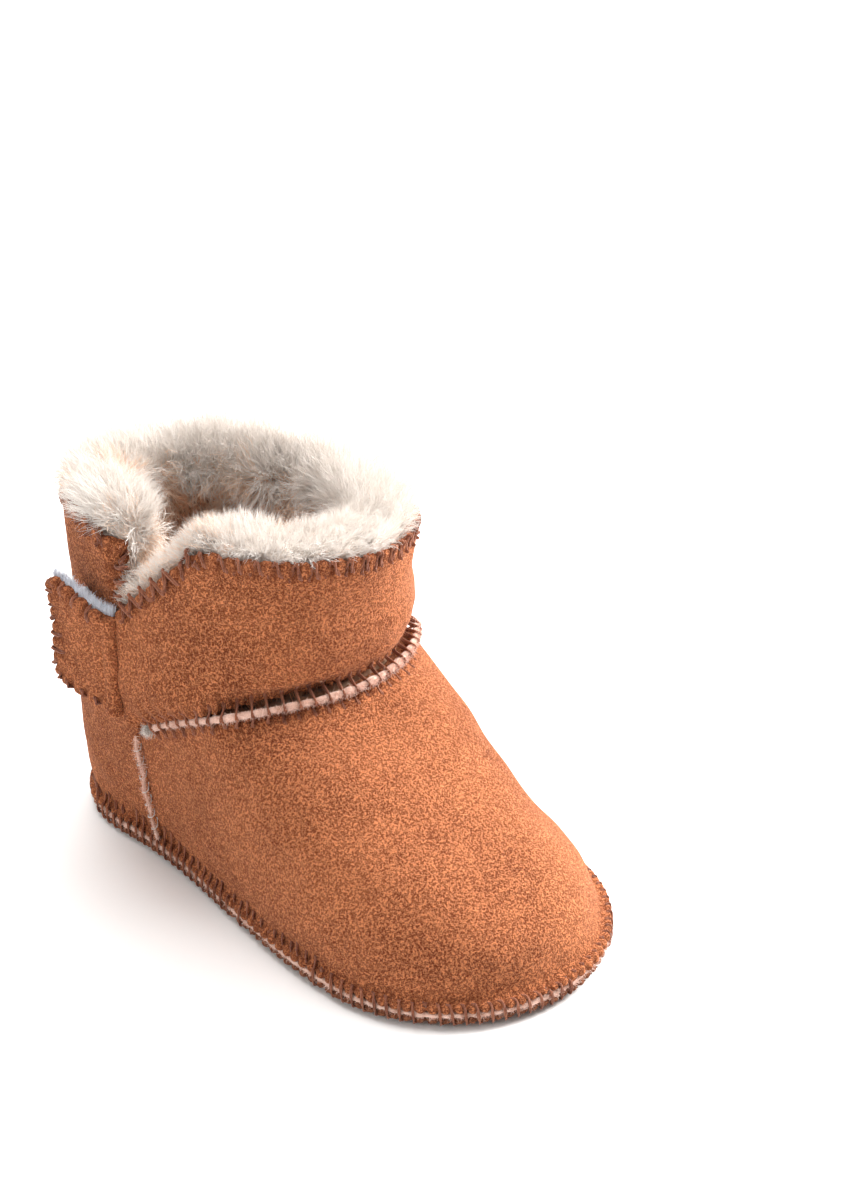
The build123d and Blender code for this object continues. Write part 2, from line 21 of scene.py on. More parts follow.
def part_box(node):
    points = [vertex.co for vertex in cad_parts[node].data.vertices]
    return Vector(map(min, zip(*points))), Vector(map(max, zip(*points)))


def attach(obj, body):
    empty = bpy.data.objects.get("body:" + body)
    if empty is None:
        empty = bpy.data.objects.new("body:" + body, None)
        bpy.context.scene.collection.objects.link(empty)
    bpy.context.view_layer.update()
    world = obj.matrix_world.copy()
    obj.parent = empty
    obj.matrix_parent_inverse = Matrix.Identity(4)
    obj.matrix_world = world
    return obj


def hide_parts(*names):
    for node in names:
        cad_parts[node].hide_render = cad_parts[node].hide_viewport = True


MM = 0.001
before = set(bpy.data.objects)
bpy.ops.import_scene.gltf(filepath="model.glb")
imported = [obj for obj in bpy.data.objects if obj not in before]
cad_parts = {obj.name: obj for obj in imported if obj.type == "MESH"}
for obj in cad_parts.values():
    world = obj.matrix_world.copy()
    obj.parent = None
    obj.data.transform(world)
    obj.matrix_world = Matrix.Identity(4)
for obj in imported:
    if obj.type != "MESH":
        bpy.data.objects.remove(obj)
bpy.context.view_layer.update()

# %% [markdown]
# The camera comes first, because every later choice of detail depends on how near it stands. It
# looks down on the outer side of the foot from the front, with a short telephoto lens.

# %% Camera
CAMERA_AZIMUTH = -49.0
CAMERA_ELEVATION = 26.0
CAMERA_DISTANCE = 470 * MM
CAMERA_TARGET = Vector((94.3, 57.6, 0)) * MM
CAMERA_LENS = 59.7


def place_camera():
    a, e = math.radians(CAMERA_AZIMUTH), math.radians(CAMERA_ELEVATION)
    back = Vector((math.sin(a) * math.cos(e), -math.cos(a) * math.cos(e), math.sin(e)))
    camera = bpy.data.objects.new("camera", bpy.data.cameras.new("camera"))
    bpy.context.scene.collection.objects.link(camera)
    camera.data.lens = CAMERA_LENS
    camera.data.sensor_width = 36
    camera.data.clip_start = 0.01
    camera.location = CAMERA_TARGET + back * CAMERA_DISTANCE
    camera.rotation_euler = (-back).to_track_quat("-Z", "Y").to_euler()
    bpy.context.scene.camera = camera


place_camera()

# %% [markdown]
# ## Mesh helpers
#
# Leather and wool are never quite smooth, so each piece becomes a dense mesh whose points are
# moved by formulas. Numpy moves thousands of points in one step, which a Python loop over
# vertices could not do in time.

# %% Reading and writing points


def points_of(piece):
    flat = np.empty(len(piece.data.vertices) * 3, np.float32)
    piece.data.vertices.foreach_get("co", flat)
    return flat.reshape(-1, 3).astype(float)


def normals_of(piece):
    flat = np.empty(len(piece.data.vertices) * 3, np.float32)
    piece.data.vertices.foreach_get("normal", flat)
    return flat.reshape(-1, 3).astype(float)


def edges_of(piece):
    flat = np.empty(len(piece.data.edges) * 2, np.int32)
    piece.data.edges.foreach_get("vertices", flat)
    return flat.reshape(-1, 2)


def move_points(piece, points):
    piece.data.vertices.foreach_set("co", points.astype(np.float32).ravel())
    piece.data.update()


def unit(vectors):
    return vectors / np.maximum(np.linalg.norm(vectors, axis=-1, keepdims=True), 1e-12)


def mesh_piece(name, points, faces):
    """A new object from points and a list of face arrays, each with 3 or 4 corners a row."""
    corners = np.concatenate([f.ravel() for f in faces]).astype(np.int32)
    sizes = np.concatenate([np.full(len(f), f.shape[1]) for f in faces])
    mesh = bpy.data.meshes.new(name)
    mesh.vertices.add(len(points))
    mesh.vertices.foreach_set("co", np.asarray(points, np.float32).ravel())
    mesh.loops.add(len(corners))
    mesh.loops.foreach_set("vertex_index", corners)
    mesh.polygons.add(len(sizes))
    mesh.polygons.foreach_set("loop_start", np.r_[0, np.cumsum(sizes)[:-1]].astype(np.int32))
    mesh.update(calc_edges=True)
    mesh.validate()
    mesh.shade_smooth()
    piece = bpy.data.objects.new(name, mesh)
    bpy.context.scene.collection.objects.link(piece)
    return piece


# %% [markdown]
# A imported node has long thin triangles. A voxel remesh turns it into small even squares, and a few
# rounds of averaging each point with its neighbours rounds the cut edges, as leather edges are.

# %% Even skins


def relax(piece, rounds, share=0.6):
    points, edges = points_of(piece), edges_of(piece)
    count = np.bincount(edges.ravel(), minlength=len(points))[:, None]
    for _ in range(rounds):
        total = np.zeros_like(points)
        for axis in range(3):
            total[:, axis] = np.bincount(edges[:, 0], points[edges[:, 1], axis], len(points))
            total[:, axis] += np.bincount(edges[:, 1], points[edges[:, 0], axis], len(points))
        points += share * (total / np.maximum(count, 1) - points)
    move_points(piece, points)


def even_skin(node, name, voxel, rounds=3):
    """A copy of a node's shape as a fine, even mesh with soft edges."""
    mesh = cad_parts[node].data.copy()
    mesh.materials.clear()
    piece = bpy.data.objects.new(name, mesh)
    bpy.context.scene.collection.objects.link(piece)
    remesh = piece.modifiers.new("even skin", "REMESH")
    remesh.mode = "VOXEL"
    remesh.voxel_size = voxel
    evaluated = piece.evaluated_get(bpy.context.evaluated_depsgraph_get())
    fine = bpy.data.meshes.new_from_object(evaluated)
    fine.name = name
    piece.modifiers.clear()
    piece.data = fine
    relax(piece, rounds)
    piece.data.shade_smooth()
    print(f"{name}: {len(fine.vertices)} points")
    return piece


# %% [markdown]
# Soft waves come from a sum of sine waves in random directions. It is cheap and smooth, gives the
# same result each time for the same seed, and its grain is set by one length.

# %% Soft waves


def waves(points, size, seed, count=14):
    """A smooth field of about -1 to 1 with bumps about `size` across."""
    random = np.random.default_rng(seed)
    directions = unit(random.normal(size=(count, 3)))
    lengths = size * random.uniform(1.4, 2.6, count)
    phases = random.uniform(0, 2 * np.pi, count)
    return np.sin(points @ (directions / lengths[:, None]).T * 2 * np.pi + phases).sum(1) / math.sqrt(count)


def near(points, places):
    """Distance from each point to the nearest place, and that place's index."""
    tree = kdtree.KDTree(len(places))
    for i, place in enumerate(places):
        tree.insert(place, i)
    tree.balance()
    found = [tree.find(p) for p in points]
    return np.array([f[2] for f in found]), np.array([f[1] for f in found])


# %% [markdown]
# ## Where the stitches are
#
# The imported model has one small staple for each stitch. Each staple tells where its thread goes:
# its middle, the direction along the seam, the direction out of the edge, and how thick the edge
# is. Reading them here keeps the threads, the puckers in the leather and the fuzz in step.

# %% Read the staples
STAPLE_STANDOFF = 0.62 * MM


def islands(node):
    """The corner points of each separate solid of a node, in the order they were made."""
    shape = bmesh.new()
    shape.from_mesh(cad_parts[node].data)
    bmesh.ops.remove_doubles(shape, verts=shape.verts, dist=1e-6)
    shape.verts.ensure_lookup_table()
    seen, groups = set(), []
    for start in shape.verts:
        if start.index in seen:
            continue
        seen.add(start.index)
        stack, group = [start], []
        while stack:
            v = stack.pop()
            group.append(v.co[:])
            for edge in v.link_edges:
                other = edge.other_vert(v)
                if other.index not in seen:
                    seen.add(other.index)
                    stack.append(other)
        groups.append(np.array(group))
    shape.free()
    return groups


def seam_places(node, level, centre):
    """For each stitch: edge point, along, out, across, half thickness and bite. A level seam is
    squeezed up and down. On the others the leather stands up, so across points away from centre."""
    groups = islands(node)
    middles = np.array([(g.max(0) + g.min(0)) / 2 for g in groups])
    gaps = np.linalg.norm(middles[:, None] - middles[None], axis=2)
    np.fill_diagonal(gaps, 9)
    order = np.argsort(gaps, axis=1)
    rows = []
    for i, group in enumerate(groups):
        first, second = order[i, 0], order[i, 1]
        if gaps[i, second] < 1.6 * gaps[i, first]:
            along = middles[first] - middles[second]
        else:
            along = middles[first] - middles[i]
        along = unit(along)
        hint = np.array([0, 0, 1.0]) if level else (middles[i] - centre) * (1, 1, 0)
        across = unit(hint - along * (hint @ along))
        out = np.cross(along, across)
        if out @ (middles[i] - centre) < 0:
            out = -out
        along = np.cross(across, out)
        reach, span = group @ out, group @ across
        half = (span.max() - span.min()) / 2 - STAPLE_STANDOFF
        bite = reach.max() - reach.min() - STAPLE_STANDOFF
        edge = middles[i] + out * (reach.max() - STAPLE_STANDOFF - middles[i] @ out)
        edge += across * ((span.max() + span.min()) / 2 - middles[i] @ across)
        rows.append((edge, along, out, across, half, bite))
    return [np.array(column) for column in zip(*rows)]


def pitch_of(seam):
    gaps = np.linalg.norm(np.diff(SEAMS[seam][0], axis=0), axis=1)
    return np.median(gaps)


def middle_of(node):
    low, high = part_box(node)
    return np.array((low + high) / 2)


SHAFT_MIDDLE = np.array([0, 21, 44]) * MM
CUFF_MIDDLE = np.array([0, 0, 44]) * MM
SEAMS = {
    "sole_seam_stitching": seam_places("sole_seam_stitching", True, middle_of("sole")),
    "ankle_seam_stitching": seam_places("ankle_seam_stitching", True, SHAFT_MIDDLE),
    "side_seam_stitching_outer": seam_places("side_seam_stitching_outer", False, CUFF_MIDDLE),
    "side_seam_stitching_inner": seam_places("side_seam_stitching_inner", False, CUFF_MIDDLE),
    "heel_edge_stitching": seam_places("heel_edge_stitching", False, SHAFT_MIDDLE),
    "cuff_edge_stitching": seam_places("cuff_edge_stitching", False, CUFF_MIDDLE),
    "cuff_end_stitching": seam_places("cuff_end_stitching", False, CUFF_MIDDLE),
}
for name, seam in SEAMS.items():
    wide, deep = seam[4].mean() * 2 / MM, seam[5].mean() / MM
    print(f"{name}: {len(seam[0])} stitches, edge {wide:.1f} mm, bite {deep:.1f} mm")

# The ankle seam is drawn tight, so its line lies nearer to the foot than the ridge that is sewn.
ANKLE_TUCK = 2.2 * MM
SEAMS["ankle_seam_stitching"][0] -= SEAMS["ankle_seam_stitching"][2] * ANKLE_TUCK

# %% [markdown]
# The tab's staples lie round a leaf that stands ajar, so its across direction is the leaf's own
# normal. It is found from the leaf's flat sides: the direction in which its points spread least.

# %% Read the tab's staples


def leaf_normal(node):
    points = points_of(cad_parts[node])
    vectors = np.linalg.eigh(np.cov((points - points.mean(0)).T))[1]
    normal = vectors[:, 0]
    return normal if normal[0] < 0 else -normal


TAB_NORMAL = leaf_normal("hook_strip")
TAB_MIDDLE = middle_of("closure_tab")
SEAMS["tab_edge_stitching"] = seam_places("tab_edge_stitching", False, TAB_MIDDLE - TAB_NORMAL * 40 * MM)
edge, along, out, across, half, bite = SEAMS["tab_edge_stitching"]
wrong = ((edge - TAB_MIDDLE) * out).sum(1) < 0
out[wrong] *= -1
along[wrong] *= -1
print("tab normal", np.round(TAB_NORMAL, 2))

# %% [markdown]
# ## Suede
#
# Suede is brushed: its nap lies in lighter and darker clouds, with a fine mottled grain. One node
# group makes the colour and the height of that grain, so that every leather piece shares it and
# only the tones differ. Stitched edges get painted shade: the suede is darker in the puckers along
# the stitches, by a per-point value worked out from the distance to the stitches.

# %% Node helpers


def group(name, inputs, outputs):
    tree = bpy.data.node_groups.new(name, "ShaderNodeTree")
    for label, kind, value in inputs:
        socket = tree.interface.new_socket(name=label, in_out="INPUT", socket_type=kind)
        socket.default_value = value
    for label, kind in outputs:
        tree.interface.new_socket(name=label, in_out="OUTPUT", socket_type=kind)
    return tree, tree.nodes.new("NodeGroupInput"), tree.nodes.new("NodeGroupOutput")


def noise(tree, coordinates, scale, detail=3.0, roughness=0.6):
    node = tree.nodes.new("ShaderNodeTexNoise")
    node.inputs["Detail"].default_value = detail
    node.inputs["Roughness"].default_value = roughness
    tree.links.new(coordinates, node.inputs["Vector"])
    if isinstance(scale, (int, float)):
        node.inputs["Scale"].default_value = scale
    else:
        tree.links.new(scale, node.inputs["Scale"])
    return node.outputs["Fac"]


def maths(tree, operation, a, b=None, c=None):
    node = tree.nodes.new("ShaderNodeMath")
    node.operation = operation
    for socket, value in zip(node.inputs, (a, b, c)):
        if value is None:
            continue
        if isinstance(value, (int, float)):
            socket.default_value = value
        else:
            tree.links.new(value, socket)
    return node.outputs[0]


def spread(tree, value, low, high, to_low=0.0, to_high=1.0):
    """Maps low..high onto to_low..to_high, with soft ends."""
    node = tree.nodes.new("ShaderNodeMapRange")
    node.interpolation_type = "SMOOTHSTEP"
    for label, number in (("From Min", low), ("From Max", high), ("To Min", to_low), ("To Max", to_high)):
        node.inputs[label].default_value = number
    tree.links.new(value, node.inputs["Value"])
    return node.outputs["Result"]


def mix(tree, share, a, b, mode="MIX"):
    node = tree.nodes.new("ShaderNodeMix")
    node.data_type = "RGBA"
    node.blend_type = mode
    for socket, value in ((node.inputs["Factor"], share), (node.inputs["A"], a), (node.inputs["B"], b)):
        if isinstance(value, (int, float, tuple)):
            socket.default_value = value
        else:
            tree.links.new(value, socket)
    return node.outputs["Result"]


# %% The nap


def make_nap():
    """Brushed suede: pale and deep tones in, colour and height out."""
    inputs = [
        ("Deep", "NodeSocketColor", (0.2, 0.07, 0.03, 1)),
        ("Pale", "NodeSocketColor", (0.5, 0.22, 0.1, 1)),
        ("Grain", "NodeSocketFloat", 1.0),
    ]
    outputs = [("Color", "NodeSocketColor"), ("Height", "NodeSocketFloat")]
    tree, start, end = group("suede_nap", inputs, outputs)
    place = tree.nodes.new("ShaderNodeTexCoord").outputs["Object"]
    scaled = tree.nodes.new("ShaderNodeVectorMath")
    scaled.operation = "SCALE"
    tree.links.new(place, scaled.inputs[0])
    tree.links.new(start.outputs["Grain"], scaled.inputs["Scale"])
    place = scaled.outputs[0]
    clouds = spread(tree, noise(tree, place, 60, 3), 0.35, 0.68)
    mottle = spread(tree, noise(tree, place, 420, 3, 0.65), 0.35, 0.65)
    grain = spread(tree, noise(tree, place, 2300, 2, 0.55), 0.4, 0.6)
    fine = spread(tree, noise(tree, place, 4600, 2, 0.6), 0.38, 0.62)
    tone = -0.06
    for layer, share in ((clouds, 0.16), (mottle, 0.1), (grain, 0.5), (fine, 0.36)):
        tone = maths(tree, "MULTIPLY_ADD", layer, share, tone)
    # Painted shade at the stitches: the per-point value darkens the nap's tone there.
    stitch_shade = tree.nodes.new("ShaderNodeAttribute")
    stitch_shade.attribute_name = "stitch_shade"
    shade = maths(tree, "MULTIPLY", tone, maths(tree, "MULTIPLY_ADD", stitch_shade.outputs["Fac"], -0.8, 1.0))
    tree.links.new(mix(tree, shade, start.outputs["Deep"], start.outputs["Pale"]), end.inputs["Color"])
    height = maths(tree, "MULTIPLY_ADD", grain, 0.7, maths(tree, "MULTIPLY", fine, 0.3))
    tree.links.new(height, end.inputs["Height"])
    return tree


NAP = make_nap()


def new_material(name):
    material = bpy.data.materials.new(name)
    material.use_nodes = True
    shader = material.node_tree.nodes["Principled BSDF"]
    return material, material.node_tree, shader


def add_bump(tree, shader, height, strength, distance, invert=False):
    bump = tree.nodes.new("ShaderNodeBump")
    bump.invert = invert
    bump.inputs["Strength"].default_value = strength
    bump.inputs["Distance"].default_value = distance
    tree.links.new(height, bump.inputs["Height"])
    tree.links.new(bump.outputs["Normal"], shader.inputs["Normal"])


def suede(name, deep, pale, grain=1.0, depth=0.35 * MM):
    material, tree, shader = new_material(name)
    nap = tree.nodes.new("ShaderNodeGroup")
    nap.node_tree = NAP
    nap.inputs["Deep"].default_value = (*deep, 1)
    nap.inputs["Pale"].default_value = (*pale, 1)
    nap.inputs["Grain"].default_value = grain
    add_bump(tree, shader, nap.outputs["Height"], 1.0, depth)
    tree.links.new(nap.outputs["Color"], shader.inputs["Base Color"])
    shader.inputs["Roughness"].default_value = 0.92
    shader.inputs["Specular IOR Level"].default_value = 0.15
    shader.inputs["Sheen Weight"].default_value = 0.12
    shader.inputs["Sheen Roughness"].default_value = 0.4
    shader.inputs["Sheen Tint"].default_value = (0.95, 0.62, 0.42, 1)
    return material


DEEP_TAN = (0.15, 0.032, 0.01)
PALE_TAN = (0.74, 0.255, 0.105)
SUEDE = suede("tan_suede", DEEP_TAN, PALE_TAN)
SUEDE_SOLE = suede("sole_suede", (0.13, 0.035, 0.015), (0.48, 0.18, 0.09), 1.2)

# %% [markdown]
# ## Leather pieces
#
# Each leather starts as an even skin. Then it gets what the hand sees in real leather: slow
# unevenness, a pucker at every stitch where the thread pulls it in, and rounded pillows between
# the stitches.

# %% Puckers and unevenness


def pucker(piece, seams, reach=3.2 * MM, depth=0.65 * MM, shade=0.8):
    """Pulls the leather in under each stitch and records painted shade there, darkest under the stitch."""
    points, normals = points_of(piece), normals_of(piece)
    stitch_shade = np.zeros(len(points))
    for seam in seams:
        edge, along, out, across, half, bite = SEAMS[seam]
        distance, index = near(points, edge)
        step = ((points - edge[index]) * along[index]).sum(1)
        under = 0.5 + 0.5 * np.cos(np.clip(2 * np.pi * step / pitch_of(seam), -np.pi, np.pi))
        span = reach if bite.mean() > 2 * MM else 0.75 * reach
        fade = np.exp(-((distance / span) ** 4))
        points -= normals * (fade * (under**2 - 0.35) * depth)[:, None]
        # Painted shade, darkest in the pucker under each stitch and fading off the seam.
        stitch_shade = np.maximum(stitch_shade, fade * (0.2 + 0.8 * under**2) * shade)
    move_points(piece, points)
    layer = piece.data.attributes.get("stitch_shade") or piece.data.attributes.new("stitch_shade", "FLOAT", "POINT")
    layer.data.foreach_set("value", stitch_shade.astype(np.float32))


def uneven(piece, amount=0.16 * MM, size=9 * MM, seed=1):
    points, normals = points_of(piece), normals_of(piece)
    lift = amount * waves(points, size, seed) + 0.35 * amount * waves(points, size / 3.2, seed + 1)
    move_points(piece, points + normals * lift[:, None])


def finish_piece(piece, material, body, node):
    piece.data.materials.clear()
    piece.data.materials.append(material)
    if node:
        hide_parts(*node if isinstance(node, tuple) else (node,))
    if body:
        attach(piece, body)


# %% [markdown]
# The vamp is turned outwards along the ankle seam, so near that seam it flares out to the ridge.
# The height below the seam comes from the ankle stitches, which run along it.

# %% Vamp
LEATHER_VOXEL = 0.45 * MM
VAMP_FLARE = 0.35 * MM


def seam_height(points, seam="ankle_seam_stitching"):
    """How far each point is above the seam, at the nearest stitch seen from above."""
    edge = SEAMS[seam][0]
    flat = edge * (1, 1, 0)
    distance, index = near(points * (1, 1, 0), flat)
    return points[:, 2] - edge[index, 2], SEAMS[seam][2][index], distance


def make_vamp():
    piece = even_skin("vamp_shell", "vamp", LEATHER_VOXEL)
    uneven(piece, 0.2 * MM, 11 * MM, 3)
    points = points_of(piece)
    height, out, distance = seam_height(points)
    flare = VAMP_FLARE * np.exp(-(((height + 0.7 * MM) / (1.8 * MM)) ** 2)) * (distance < 9 * MM)
    move_points(piece, points + out * flare[:, None])
    pucker(piece, ["ankle_seam_stitching", "sole_seam_stitching"])
    finish_piece(piece, SUEDE, "upper", "vamp_shell")
    return piece


VAMP = make_vamp()

# %% [markdown]
# The cuff band tucks in over the ankle seam and bulges above it, which throws the soft dark crease
# at the front of the ankle. A few slack folds run along its upper edge on the outer side.

# %% Cuff band
CUFF_TUCK = 2.2 * MM
CUFF_DROP = 0.8 * MM
CUFF_BULGE = 0.9 * MM


def fold(points, normals, a, b, width, depth):
    """A shallow crease along the line from a to b, with a soft roll on its upper side."""
    a, b = np.array(a), np.array(b)
    share = np.clip(((points - a) @ (b - a)) / ((b - a) @ (b - a)), 0, 1)
    offset = points - (a + share[:, None] * (b - a))
    distance = np.linalg.norm(offset, axis=1)
    ends = np.sin(np.pi * np.clip(share, 0.02, 0.98)) ** 0.7
    line = np.exp(-((distance / width) ** 2))
    roll = np.exp(-(((distance - 1.9 * width) / width) ** 2)) * (offset[:, 2] > 0)
    return normals * ((0.6 * roll - line) * depth * ends)[:, None]


def make_cuff():
    piece = even_skin("cuff_band", "cuff", LEATHER_VOXEL)
    uneven(piece, 0.22 * MM, 9 * MM, 5)
    points, normals = points_of(piece), normals_of(piece)
    height, out, _ = seam_height(points)
    low_edge = np.exp(-(((height - 1.6 * MM) / (2.3 * MM)) ** 2))
    tuck = CUFF_BULGE * np.exp(-(((height - 8 * MM) / (4.5 * MM)) ** 2)) - CUFF_TUCK * low_edge
    front = np.clip((23 * MM - points[:, 1]) / (4 * MM), 0, 1)
    points += out * (tuck * front)[:, None]
    points[:, 2] -= CUFF_DROP * low_edge * front
    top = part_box("cuff_band")[1][2]
    for start, end, width, depth in (
        ((-25, 9, -9), (-12, -9, -8), 1.0, 0.6),
        ((-26, 12, -13), (-16, -6, -11.5), 0.9, 0.5),
        ((-21, 1, -5.5), (-6, -12, -6), 0.8, 0.4),
        ((-24, 4, -27), (-4, -12, -26), 1.5, 1.7),
        ((-10, -12, -25.5), (12, -11, -25), 1.3, 0.7),
    ):
        a = np.array(start) * MM + (0, 0, top)
        b = np.array(end) * MM + (0, 0, top)
        points += fold(points, normals, a, b, width * MM, depth * MM)
    move_points(piece, points)
    pucker(piece, ["ankle_seam_stitching", "cuff_edge_stitching", "cuff_end_stitching"])
    finish_piece(piece, SUEDE, "upper", "cuff_band")
    return piece


CUFF = make_cuff()

# %% Heel piece and sole


HEEL_DIP = 0.24


def dip_heel(points):
    """The heel piece's upper edge sags towards its free end on the outer side."""
    towards_end = np.clip((37 * MM - points[:, 1]) / (13 * MM), 0, 1) * (points[:, 0] < 0)
    above = np.clip(points[:, 2] - 54 * MM, 0, None)
    dipped = points.copy()
    dipped[:, 2] -= above * HEEL_DIP * towards_end**1.4
    return dipped


SEAMS["heel_edge_stitching"][0] = dip_heel(SEAMS["heel_edge_stitching"][0])


def make_heel():
    piece = even_skin("heel_shell", "heel_piece", LEATHER_VOXEL)
    uneven(piece, 0.24 * MM, 12 * MM, 8)
    move_points(piece, dip_heel(points_of(piece)))
    pucker(piece, ["heel_edge_stitching", "sole_seam_stitching"])
    finish_piece(piece, SUEDE, "upper", "heel_shell")
    return piece


def make_sole():
    piece = even_skin("sole", "sole_leather", 0.6 * MM)
    points = points_of(piece)
    normals = normals_of(piece)
    lift = 0.1 * MM * waves(points, 10 * MM, 12) * (points[:, 2] > 0.6 * MM)
    move_points(piece, points + normals * lift[:, None])
    pucker(piece, ["sole_seam_stitching"])
    finish_piece(piece, SUEDE_SOLE, "upper", "sole")
    return piece


HEEL = make_heel()
SOLE = make_sole()

# %% [markdown]
# The closure tab leaves the cuff band along a crease. It is one more leather leaf.

# %% Closure tab


HINGE = np.array([-27.863, 24.0, 42.5]) * MM
KNUCKLE = 1.45 * MM
TAB_FLARE = 1.0 * MM


def shape_tab(points):
    """The leaf curls outwards towards its upper free corner."""
    rise = np.clip((points[:, 2] - 42 * MM) / (16 * MM), 0, 1)
    away = np.clip((points[:, 1] - HINGE[1]) / (12 * MM), 0, 1)
    return points + TAB_NORMAL * (TAB_FLARE * rise**1.5 * away)[:, None]


def make_tab():
    piece = even_skin("closure_tab", "tab_leather", 0.35 * MM)
    uneven(piece, 0.14 * MM, 7 * MM, 17)
    points = points_of(piece)
    offset = (points - HINGE) * (1, 1, 0)
    distance = np.linalg.norm(offset, axis=1)
    grow = np.clip((KNUCKLE + 0.9 * MM - distance) / (0.9 * MM), 0, 1)
    points += unit(offset) * (np.maximum(KNUCKLE - distance, 0) * grow)[:, None]
    move_points(piece, shape_tab(points))
    relax(piece, 1, 0.5)
    pucker(piece, ["tab_edge_stitching"])
    finish_piece(piece, SUEDE, "tab", "closure_tab")
    return piece


TAB = make_tab()

# %% [markdown]
# ## Thread
#
# An overlock stitch is one thread that comes out of a hole, runs over the edge and goes back in on
# the other side, a little further along. It is two plies twisted together. Each stitch is swept
# as two thin tubes that wind round its own path, so that the ply shows in close views.

# %% Sweeping threads


def curve_through(knots, steps):
    """Catmull-Rom points through an array of knots (stitches, knots, 3)."""
    before = np.concatenate([2 * knots[:, :1] - knots[:, 1:2], knots, 2 * knots[:, -1:] - knots[:, -2:-1]], 1)
    spans = knots.shape[1] - 1
    places = []
    for i in range(steps):
        t = i / (steps - 1) * spans
        k = min(int(t), spans - 1)
        t -= k
        a, b, c, d = (before[:, k + j] for j in range(4))
        square, cube = 2 * a - 5 * b + 4 * c - d, 3 * b - a - 3 * c + d
        places.append(0.5 * (2 * b + (c - a) * t + square * t**2 + cube * t**3))
    return np.stack(places, 1)


def tubes(paths, side_axis, radius, sides=6):
    """Closed tubes along paths (count, steps, 3), as points and faces."""
    count, steps, _ = paths.shape
    tangent = unit(np.gradient(paths, axis=1))
    normal = unit(np.cross(tangent, side_axis[:, None]))
    other = np.cross(tangent, normal)
    angle = np.arange(sides) / sides * 2 * np.pi
    radius = np.broadcast_to(radius, (count, steps)).copy()
    radius[:, [0, -1]] *= 0.55
    ring = normal[:, :, None] * np.cos(angle)[:, None] + other[:, :, None] * np.sin(angle)[:, None]
    points = paths[:, :, None] + ring * radius[:, :, None, None]
    i = np.arange(steps - 1)[:, None] * sides
    j = np.arange(sides)[None]
    k = (j + 1) % sides
    quads = np.stack([i + j, i + k, i + sides + k, i + sides + j], -1).reshape(-1, 4)
    offset = np.arange(count)[:, None, None] * steps * sides
    faces = [(quads[None] + offset).reshape(-1, 4)]
    fan = np.stack([np.zeros(sides - 2), np.arange(1, sides - 1), np.arange(2, sides)], -1).astype(int)
    faces.append((fan[None, :, ::-1] + offset).reshape(-1, 3))
    faces.append((fan[None] + (steps - 1) * sides + offset).reshape(-1, 3))
    return points.reshape(-1, 3), faces


def two_ply(paths, side_axis, radius, turns=1.6):
    """Two tubes wound round each path."""
    steps = paths.shape[1]
    tangent = unit(np.gradient(paths, axis=1))
    normal = unit(np.cross(tangent, side_axis[:, None]))
    other = np.cross(tangent, normal)
    parts, faces, base = [], [], 0
    for ply in (0, 1):
        wind = np.pi * ply + np.linspace(0, 2 * np.pi * turns, steps)
        turn = normal * np.cos(wind)[None, :, None] + other * np.sin(wind)[None, :, None]
        centre = paths + 0.55 * radius * turn
        points, some = tubes(centre, side_axis, 0.62 * radius)
        parts.append(points)
        faces += [f + base for f in some]
        base += len(points)
    return np.concatenate(parts), faces


def laid(points, outward, leathers, reach=3 * MM):
    """Each point moved along its outward direction onto the outermost leather there."""
    result = points.copy()
    for i, (point, way) in enumerate(zip(points, outward)):
        nearest = 2 * reach
        for leather in leathers:
            hit, _, _, distance = leather.ray_cast(Vector(point + way * reach), Vector(-way), 2 * reach)
            if hit is not None and distance < nearest:
                nearest, result[i] = distance, hit
    return result


def overlock_paths(seam, leathers, radius, slant=0.3, seed=4):
    """One path for each stitch of a seam: over the edge from one face of the leather to the other."""
    edge, along, out, across, half, bite = seam
    random = np.random.default_rng(seed)
    count = len(edge)
    pitch = np.median(np.linalg.norm(np.diff(edge, axis=0), axis=1))
    half = half[:, None]
    depth = (bite * random.uniform(0.86, 1.1, count))[:, None]
    lean = slant * pitch * random.uniform(0.6, 1.4, count)[:, None]
    jitter = random.normal(0, 0.1 * MM, count)[:, None]

    def at(o, a, c):
        return edge + out * o + along * (a + jitter) + across * c

    top = laid(at(0, 0, 0), out, leathers, 2 * MM) + out * 0.7 * radius
    rise = ((top - edge) * out).sum(1)[:, None]
    knots = [
        laid(at(-depth, -lean, half), across, leathers) - across * 2.5 * radius,
        laid(at(-0.92 * depth, -0.9 * lean, half), across, leathers) + across * 0.2 * radius,
        laid(at(-0.45 * depth, -0.5 * lean, half), across, leathers) + across * 0.7 * radius,
        at(rise - 0.25 * MM, -0.2 * lean, half * 0.8),
        top,
        at(rise - 0.25 * MM, 0.2 * lean, -half * 0.8),
        at(-0.45 * depth, 0.5 * lean, -half),
        at(-0.92 * depth, 0.9 * lean, -half),
        at(-depth, lean, -half + 2 * radius),
    ]
    return curve_through(np.stack(knots, 1), 20), along


